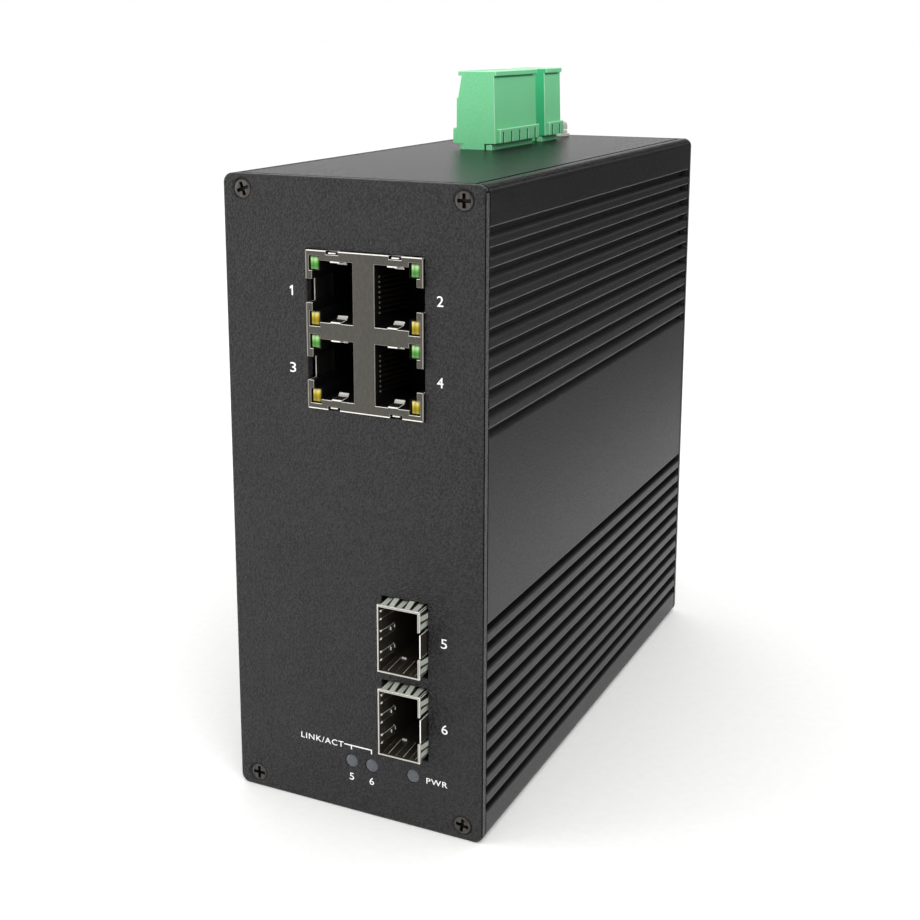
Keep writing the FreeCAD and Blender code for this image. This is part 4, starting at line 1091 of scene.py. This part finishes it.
@dataclass
class ModuleCages:
    """Two sheet cages with their finger collars and card connectors."""

    edge: float = 0.06 * MM
    rim: float = 0.5 * MM
    tongue_half: float = 3.0 * MM
    sheet: float = 0.25 * MM
    strip: float = 0.12 * MM
    finger_edge: float = 0.04 * MM
    finger_end: float = 0.2
    finger_run: Point = (0.5 * MM, 5.8 * MM)
    finger_lift: float = 0.5 * MM
    side_fingers: tuple[Point, ...] = ((1.4 * MM, 3.1 * MM), (5.7 * MM, 7.4 * MM), (10.2 * MM, 11.9 * MM))
    floor_run: Point = (0.5 * MM, 6.2 * MM)
    floor_fingers: tuple[Point, ...] = ((0.9 * MM, 2.1 * MM), (3.8 * MM, 5.5 * MM), (7.0 * MM, 8.2 * MM))
    side_tabs: tuple[Point, ...] = ((6.0 * MM, 6.7 * MM), (10.4 * MM, 11.1 * MM))
    tab_runs: tuple[Point, ...] = ((4.0 * MM, 4.4 * MM), (5.6 * MM, 6.2 * MM))
    tab_lift: float = 0.7 * MM
    root_run: Point = (0.55 * MM, 1.0 * MM)
    root_lift: Point = (0.02 * MM, 0.12 * MM)
    root_half: float = 0.2 * MM
    floor_tab: Triple = (1.9 * MM, 3.0 * MM, 6.8 * MM)
    floor_tab_rise: Point = (0.30 * MM, 0.15 * MM)
    numbers: tuple[int, ...] = (5, 6)

    def build(self) -> None:
        """Builds and dresses both cages."""
        for number in self.numbers:
            self.build_cage(f"sfp_cage_{number}")
            self.build_collar(f"sfp_springs_{number}")
            dress_node(f"sfp_connector_{number}", JACK_BLACK)
            self.build_tabs(number)
            self.build_fingers(number)

    def build_cage(self, node: str) -> None:
        """Copies a cage with painted highlights on its edges and duller painted light round its front rim,
        except on the latch tongue.

        Args:
            node: CAD cage that it stands for.
        """
        low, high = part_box(node)
        centre = (low + high) / 2
        looks = [CAGE_NICKEL, CAGE_EDGE, CAGE_RIM]
        mesh = softened(node, self.edge, EdgeHighlight.EVERY)
        for face in mesh.faces:
            middle = face.calc_center_median()
            at_edge = face.material_index == MARKED or face.normal.y < -STRAIGHT
            if at_edge and middle.y < low.y + self.rim:
                on_tongue = middle.x > centre.x and abs(middle.z - centre.z) < self.tongue_half
                face.material_index = looks.index(CAGE_EDGE if on_tongue else CAGE_RIM)
        make_piece(f"{node}_finished", mesh, looks, [node])

    def build_collar(self, node: str) -> None:
        """Copies a finger collar with a painted highlight on its front rim and painted shade on the edges
        between the fingers.

        Args:
            node: CAD collar that it stands for.
        """
        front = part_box(node)[0].y
        looks = [SPRING_STRIP, CAGE_EDGE, STRIP_SHADE]
        mesh = copied(node)
        behind = [edge for edge in outer_edges(mesh) if all(vert.co.y > front + WELD for vert in edge.verts)]
        for face in round_edges(mesh, behind, self.edge):
            face.material_index = looks.index(STRIP_SHADE)
        for face in mesh.faces:
            if face.normal.y < -STRAIGHT and face.calc_center_median().y < front + WELD:
                face.material_index = looks.index(CAGE_EDGE)
        make_piece(f"{node}_finished", mesh, looks, [node])

    def build_tabs(self, number: int) -> None:
        """Builds the lanced tabs inside a cage and the roots of its side fingers, all in painted highlight.

        Args:
            number: Number of the cage.
        """
        low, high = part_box(f"sfp_cage_{number}")
        wall, floor = low.x + self.sheet, low.z + self.sheet
        tabs = []
        for top, bottom in self.side_tabs:
            for start, end in self.tab_runs:
                tabs.append(self.leaf((wall + self.tab_lift, low.y + start), (wall, low.y + end),
                                      high.z - bottom, high.z - top, CageWall.SIDE))
        start, end = (low.y + run for run in self.root_run)
        under, over = (wall + lift for lift in self.root_lift)
        for down in sum(self.side_fingers, ()):
            z = high.z - down
            tabs.append(self.leaf((under, start), (over, end), z - self.root_half, z + self.root_half,
                                  CageWall.SIDE))
        left, right, depth = self.floor_tab
        rise, run = self.floor_tab_rise
        tabs.append(self.leaf((floor, low.y + depth), (floor + rise, low.y + depth + run), low.x + left,
                              low.x + right, CageWall.FLOOR))
        make_piece(f"sfp_inner_tabs_{number}", merged(tabs), [CAGE_EDGE])

    def build_fingers(self, number: int) -> None:
        """Builds the long fingers that press on a module, with painted highlights along their edges and dull
        ends.

        Args:
            number: Number of the cage.
        """
        low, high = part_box(f"sfp_cage_{number}")
        wall, floor = low.x + self.sheet, low.z + self.sheet
        looks = [CAGE_NICKEL, CAGE_EDGE]
        fingers = []
        start, end = (low.y + run for run in self.finger_run)
        for top, bottom in self.side_fingers:
            fingers.append(self.leaf((wall, start), (wall + self.finger_lift, end), high.z - bottom,
                                     high.z - top, CageWall.SIDE))
        start, end = (low.y + run for run in self.floor_run)
        for left, right in self.floor_fingers:
            fingers.append(self.leaf((floor, start), (floor + self.finger_lift, end), low.x + left,
                                     low.x + right, CageWall.FLOOR))
        mesh = merged(fingers)
        round_edges(mesh, sharp_edges(mesh), self.finger_edge, edge_highlight=EdgeHighlight.EVERY)
        for face in mesh.faces:
            if abs(face.normal.y) > self.finger_end:
                face.material_index = looks.index(CAGE_NICKEL)
        make_piece(f"sfp_inner_springs_{number}", mesh, looks)

    def leaf(self, start: Point, end: Point, low: float, high: float, wall: CageWall) -> bmesh.types.BMesh:
        """Makes a flat leaf of strip that leaves a wall.

        Args:
            start: Distance across the wall and depth where it begins.
            end: The same where it ends.
            low: Lower or left side of the leaf.
            high: Upper or right side of the leaf.
            wall: Wall that it leaves.

        Returns:
            The leaf.
        """
        outline = [start, end, (end[0] + self.strip, end[1]), (start[0] + self.strip, start[1])]
        if wall is CageWall.SIDE:
            return prism([(a, y, low) for a, y in outline], (0.0, 0.0, high - low))
        return prism([(low, y, a) for a, y in outline], (high - low, 0.0, 0.0))


@dataclass
class Indicators:
    """Three domed lamps at the foot of the front panel."""

    radius: float = 1.45 * MM
    dome: float = 0.35 * MM
    flange_run: Point = (-5.1 * MM, -6.1 * MM)
    steps: int = 40
    rings: int = 6

    def build(self) -> None:
        """Builds each lamp as a turned lens on its flange."""
        for name in ("5", "6", "power"):
            self.build_lamp(f"indicator_{name}")

    def build_lamp(self, node: str) -> None:
        """Builds one lamp.

        Args:
            node: CAD indicator that it stands for.
        """
        low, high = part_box(node)
        flange = (high.x - low.x) / 2
        centre = Vector(((low.x + high.x) / 2, low.y, high.z - flange))
        turns = [math.pi / 2 * ring / self.rings for ring in range(self.rings + 1)]
        dome = [(self.radius * math.sin(turn), -self.dome * (1 - math.cos(turn))) for turn in turns]
        near, far = self.flange_run
        profile = dome + [(self.radius, near), (flange, near), (flange, far), (0.0, far)]
        mesh = moved(lathe(profile, self.steps), Matrix.Translation(centre) @ Facing.FRONT.turn())
        make_piece(f"{node}_lens", mesh, [LENS_GREY], [node])


@dataclass
class Terminals:
    """Green screw plugs in their headers, with clamps and screws."""

    plug_edge: float = 0.13 * MM
    header_edge: float = 0.10 * MM
    gap: float = 0.25 * MM
    gap_reach: float = 3.4 * MM
    tongue_x: Point = (1.0 * MM, 6.5 * MM)
    tongue_lap: float = 0.8 * MM
    tongue_proud: float = 0.01 * MM
    comb_reach: float = 0.75 * MM
    comb_floor: float = 0.65 * MM
    comb_top: float = 3.3 * MM
    comb_step: float = 0.15 * MM
    comb_ends: Point = (1.4 * MM, 0.3 * MM)
    # Place, size and ends of the bar of painted shadow under a plug's lip.
    lip_shadow_in: float = 1.3 * MM
    lip_shadow_size: Point = (0.15 * MM, 0.45 * MM)
    lip_shadow_below: float = 1.1 * MM
    lip_shadow_ends: Point = (0.3 * MM, 2.2 * MM)
    looks: tuple[Finish, ...] = (TERMINAL_GREEN, TERMINAL_EDGE, TERMINAL_DEEP, TERMINAL_SHADE)

    def build(self) -> None:
        """Builds and dresses both terminals."""
        for name in ("power", "alarm"):
            self.build_plug(name)
            self.build_lip_shadow(name)
            self.build_tongue_face(name)
            # The header's edges that face up or to the front right get painted highlights.
            soften_node(f"{name}_header", [TERMINAL_GREEN, TERMINAL_EDGE], self.header_edge,
                        EdgeHighlight.LIT)
        for node in ("header_pins", "plug_clamps", "plug_screws"):
            dress_node(node, PLATED_STEEL)

    def build_plug(self, name: str) -> None:
        """Copies a plug, with a fine gap over the header's right wall.

        Args:
            name: Which terminal it is.
        """
        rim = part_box(f"{name}_header")[1].z
        low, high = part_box(f"{name}_plug")
        mesh = copied(f"{name}_plug")
        for vert in mesh.verts:
            if -WELD < vert.co.z - rim < self.comb_step and vert.co.x > high.x - self.gap_reach:
                vert.co.z += self.gap
        self.shade_slots(mesh, low, high, rim)
        # The alarm plug's front stands in the shade of the power plug.
        if name == "alarm":
            for face in mesh.faces:
                if face.normal.y < -STRAIGHT and face.calc_center_median().y < low.y + WELD:
                    face.material_index = self.looks.index(TERMINAL_SHADE)
        # Edges that face up or to the front right get painted highlights.
        round_edges(mesh, outer_edges(mesh), self.plug_edge, edge_highlight=EdgeHighlight.LIT)
        make_piece(f"{name}_plug_finished", mesh, self.looks, [f"{name}_plug"])

    def shade_slots(self, mesh: bmesh.types.BMesh, low: Vector, high: Vector, rim: float) -> None:
        """Marks the walls and floors of the coding slots for painted shade, where little light comes.

        Args:
            mesh: A plug.
            low: Low corner of its box.
            high: High corner of it.
            rim: Height of its underside.
        """
        start, end = low.y + self.comb_ends[0], high.y - self.comb_ends[1]
        for face in mesh.faces:
            middle = face.calc_center_median()
            in_comb = (middle.x > high.x - self.comb_reach and middle.z < rim + self.comb_top
                       and all(start < vert.co.y < end for vert in face.verts))
            if in_comb and (abs(face.normal.y) > STRAIGHT or middle.x < high.x - self.comb_floor):
                face.material_index = self.looks.index(TERMINAL_DEEP)

    def build_tongue_face(self, name: str) -> None:
        """Builds the front of a plug's tongue, flush with the plug's own front down to the cover.

        Args:
            name: Which terminal it is.
        """
        low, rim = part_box(f"{name}_plug")[0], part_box(f"{name}_header")[1].z
        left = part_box(f"{name}_header")[0].x
        start = Vector((left + self.tongue_x[0], low.y - self.tongue_proud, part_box("top_cover")[1].z))
        end = Vector((left + self.tongue_x[1], low.y + self.gap, rim + self.tongue_lap))
        make_piece(f"{name}_plug_tongue_face", bar(start, end), [TERMINAL_GREEN])

    def build_lip_shadow(self, name: str) -> None:
        """Builds a dark bar of painted shadow under the lip on the back of a plug.

        Args:
            name: Which terminal it is.
        """
        low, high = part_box(f"{name}_plug")
        deep, tall = self.lip_shadow_size
        x, z = high.x - self.lip_shadow_in, high.z - self.lip_shadow_below
        start = Vector((x - deep, low.y + self.lip_shadow_ends[0], z - tall))
        end = Vector((x + deep, high.y - self.lip_shadow_ends[1], z - WELD))
        make_piece(f"{name}_plug_lip_shadow", bar(start, end), [TERMINAL_DEEP])


@dataclass
class EarthPoint:
    """Earth screw with its plain and split washers."""

    bore: float = 1.55 * MM
    ease: float = 0.1 * MM
    split_deg: float = 346.0
    climb: float = 0.2 * MM
    head_height: float = 2.2 * MM
    shank: float = 1.5 * MM
    dome: tuple[Point, ...] = ((0.62, 1.0), (0.80, 0.93), (0.93, 0.75), (1.0, 0.40), (1.0, 0.0))
    cross: Triple = (1.3 * MM, 0.7 * MM, 1.0 * MM)
    steps: int = 48

    def build(self) -> None:
        """Builds the stack from the cover up."""
        self.build_washer()
        self.build_split_washer()
        self.build_screw()

    def stack(self, node: str) -> tuple[Matrix, float, float]:
        """Measures one CAD piece of the stack.

        Args:
            node: Name of the piece.

        Returns:
            The place of its foot, its radius and its height.
        """
        low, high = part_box(node)
        foot = Matrix.Translation(((low.x + high.x) / 2, (low.y + high.y) / 2, low.z))
        return foot, (high.x - low.x) / 2, high.z - low.z

    def build_washer(self) -> None:
        """Builds the plain washer with softened rims."""
        foot, radius, top = self.stack("earth_washer")
        ease, bore = self.ease, self.bore
        profile = [(bore, 0.0), (radius - ease, 0.0), (radius, ease), (radius, top - ease),
                   (radius - ease, top), (bore, top), (bore, 0.0)]
        mesh = moved(lathe(profile, self.steps), foot)
        make_piece("earth_plain_washer", mesh, [PLATED_STEEL], ["earth_washer"])

    def build_split_washer(self) -> None:
        """Builds the split washer as one open turn that climbs."""
        foot, radius, height = self.stack("earth_spring_washer")
        top = height - self.climb
        profile = [(self.bore, 0.0), (radius, 0.0), (radius, top), (self.bore, top), (self.bore, 0.0)]
        mesh = lathe(profile, self.steps, math.radians(self.split_deg), self.climb)
        bmesh.ops.holes_fill(mesh, edges=mesh.edges, sides=len(profile))
        bmesh.ops.recalc_face_normals(mesh, faces=mesh.faces)
        make_piece("earth_split_washer", moved(mesh, foot), [PLATED_STEEL],
                   ["earth_spring_washer"])

    def build_screw(self) -> None:
        """Builds the domed screw with painted shade in its cross recess."""
        foot, radius, height = self.stack("earth_screw")
        dome = tuple((radius * across, self.head_height * (up - 1)) for across, up in self.dome)
        screw = CrossScrew(dome + ((self.shank, -self.head_height),), self.shank, height, *self.cross)
        mesh = moved(screw.build(), foot @ Matrix.Translation((0, 0, height)))
        make_piece("earth_cross_screw", mesh, [PLATED_STEEL, PLATED_RECESS], ["earth_screw"])


@dataclass
class RailClip:
    """Extruded rail clip on the rear panel, with its leaf and screws."""

    edge: float = 0.25 * MM
    leaf_edge: float = 0.0625 * MM
    head_radius: float = 2.9 * MM
    head_face: float = 0.9 * MM
    head_rim: float = 0.2 * MM
    shank: float = 1.5 * MM
    screw_length: float = 7.0 * MM
    hand_turns: Triple = (0.5, 1.1, 0.2)
    cross: Triple = (1.7 * MM, 0.9 * MM, 1.1 * MM)

    def build(self) -> None:
        """Builds and dresses the clip."""
        soften_node("rail_clip", [CLIP_ALUMINIUM], self.edge)
        soften_node("rail_clip_spring", [SPRING_STRIP], self.leaf_edge)
        self.build_screws()

    def build_screws(self) -> None:
        """Builds the three countersunk screws that hold the clip, with painted shade in their cross recesses.
        """
        low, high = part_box("rail_clip_screws")
        head, rim = self.head_radius, self.head_rim
        upper, lower = high.z - head, low.z + head
        profile = ((head - self.head_face, 0.0), (head - rim, 0.0), (head, -rim),
                   (self.shank, self.shank - head - rim))
        screw = CrossScrew(profile, self.shank, self.screw_length, *self.cross)
        spots = ((low.x + head, upper), (high.x - head, upper), ((low.x + high.x) / 2, lower))
        places = [Matrix.Translation((x, high.y, z)) @ Facing.REAR.turn() @ Matrix.Rotation(turn, 4, "Z")
                  for (x, z), turn in zip(spots, self.hand_turns)]
        mesh = merged(moved(screw.build(), place) for place in places)
        looks = [PLATED_STEEL, PLATED_RECESS]
        make_piece("rail_clip_cross_screws", mesh, looks, ["rail_clip_screws"])


@dataclass
class Boards:
    """Circuit boards and the components inside the case."""

    boards: tuple[str, ...] = ("indicator_board", "main_board", "power_board")
    packages: tuple[str, ...] = ("switch_chip", "lan_transformer_1", "lan_transformer_2", "power_inductor")
    cans: tuple[str, ...] = ("bulk_capacitor_1", "bulk_capacitor_2")

    def build(self) -> None:
        """Dresses every inner node."""
        groups = ((self.boards, BOARD_GREEN), (self.packages, CHIP_BLACK), (self.cans, CAN_SLEEVE),
                  (("board_connector",), JACK_BLACK), (("thermal_pad",), PAD_GREY),
                  (("heat_block",), HEAT_ALUMINIUM))
        for nodes, finish in groups:
            for node in nodes:
                dress_node(node, finish)


@dataclass(frozen=True)
class SoftLamp:
    """Square soft lamp of the studio."""

    name: str
    place: Triple
    size: float
    watts: float

    def hang(self, aim: Triple) -> None:
        """Hangs the lamp.

        Args:
            aim: Point that it shines at.
        """
        data = bpy.data.lights.new(self.name, "AREA")
        data.size = self.size
        data.energy = self.watts
        lamp = bpy.data.objects.new(self.name, data)
        lamp.location = self.place
        lamp.rotation_euler = (Vector(aim) - Vector(self.place)).to_track_quat("-Z", "Y").to_euler()
        bpy.context.scene.collection.objects.link(lamp)


@dataclass
class Studio:
    """Pale floor, soft light, a dark card for the fins and the camera."""

    camera_place: Triple = (0.1356, -0.3035, 0.1611)
    yaw_deg: float = 25.97
    pitch_deg: float = 11.85
    lens_mm: float = 55.29
    sensor_mm: float = 36.0
    shift: Point = (0.0184, -0.14)
    floor_size: float = 60.0
    room: float = 0.30
    ceiling: float = 1.2
    ceiling_rise: Point = (0.15, 0.6)
    back_wall: float = 1.0
    back_wall_rise: Point = (0.70, 0.93)
    card_low: Triple = (0.110, 0.0, 0.0)
    card_high: Triple = (0.111, 0.9, 0.5)
    aim: Triple = (0.0, 0.0, 0.07)
    lamps: tuple[SoftLamp, ...] = (SoftLamp("key_light", (0.7, -0.8, 0.8), 0.8, 6.0),
                                   SoftLamp("fill_light", (-1.05, -0.62, 0.35), 0.7, 5.6))

    def build(self) -> None:
        """Builds the floor, the card, the world, the lamps and the camera."""
        self.build_floor()
        self.build_card()
        self.build_world()
        for lamp in self.lamps:
            lamp.hang(self.aim)
        self.build_camera()

    def build_floor(self) -> None:
        """Lays a pale floor under the case."""
        mesh = bmesh.new()
        bmesh.ops.create_grid(mesh, x_segments=1, y_segments=1, size=self.floor_size / 2)
        link_piece("floor", mesh, [FLOOR_PAPER])

    def build_card(self) -> None:
        """Stands a dark card beside the case, seen only as a reflection in the upper fins."""
        card = link_piece("shade_card", bar(Vector(self.card_low), Vector(self.card_high)), [CARD_BLACK])
        card.visible_camera = False
        card.visible_diffuse = False
        card.visible_shadow = False

    def build_world(self) -> None:
        """Surrounds the case with a bright ceiling, a white back wall and a dimmer room."""
        world = bpy.data.worlds.new("studio_room")
        world.use_nodes = True
        bpy.context.scene.world = world
        tree = world.node_tree
        direction = add_node(tree, "ShaderNodeTexCoord").outputs["Generated"]
        height = add_node(tree, "ShaderNodeSeparateXYZ", {0: direction}).outputs["Z"]
        low, high = self.ceiling_rise
        ceiling = add_node(tree, "ShaderNodeMapRange", {
            "Value": height, "From Min": low, "From Max": high, "To Min": 0.0, "To Max": self.ceiling},
            interpolation_type="SMOOTHSTEP").outputs[0]
        yaw = math.radians(self.yaw_deg)
        away = (-math.sin(yaw), math.cos(yaw), 0.0)
        facing = add_node(tree, "ShaderNodeVectorMath", {0: direction, 1: away}, operation="DOT_PRODUCT")
        low, high = self.back_wall_rise
        wall = add_node(tree, "ShaderNodeMapRange", {
            "Value": facing.outputs["Value"], "From Min": low, "From Max": high, "To Min": self.room,
            "To Max": self.back_wall}, interpolation_type="SMOOTHSTEP").outputs[0]
        level = add_node(tree, "ShaderNodeMath", {0: wall, 1: ceiling}, operation="MAXIMUM").outputs[0]
        tree.links.new(level, tree.nodes["Background"].inputs["Strength"])
        tree.nodes["Background"].inputs["Color"].default_value = linear("#ffffff")

    def build_camera(self) -> None:
        """Sets the camera at the photograph's viewing angle."""
        data = bpy.data.cameras.new("camera")
        data.sensor_width = self.sensor_mm
        data.lens = self.lens_mm
        data.shift_x, data.shift_y = self.shift
        camera = bpy.data.objects.new("camera", data)
        camera.location = self.camera_place
        camera.rotation_euler = (math.radians(90 - self.pitch_deg), 0, math.radians(self.yaw_deg))
        bpy.context.scene.collection.objects.link(camera)
        bpy.context.scene.camera = camera
        bpy.context.scene.view_settings.view_transform = "Standard"


def main() -> None:
    """Builds every sub-assembly in order."""
    logging.basicConfig(level=logging.INFO, format="%(message)s")
    for part in (Case(), Legends(), SocketBlock(), ModuleCages(), Indicators(), Terminals(), EarthPoint(),
                 RailClip(), Boards(), Studio()):
        LOG.info("building %s", type(part).__name__)
        part.build()


if __name__ == "__main__":
    main()
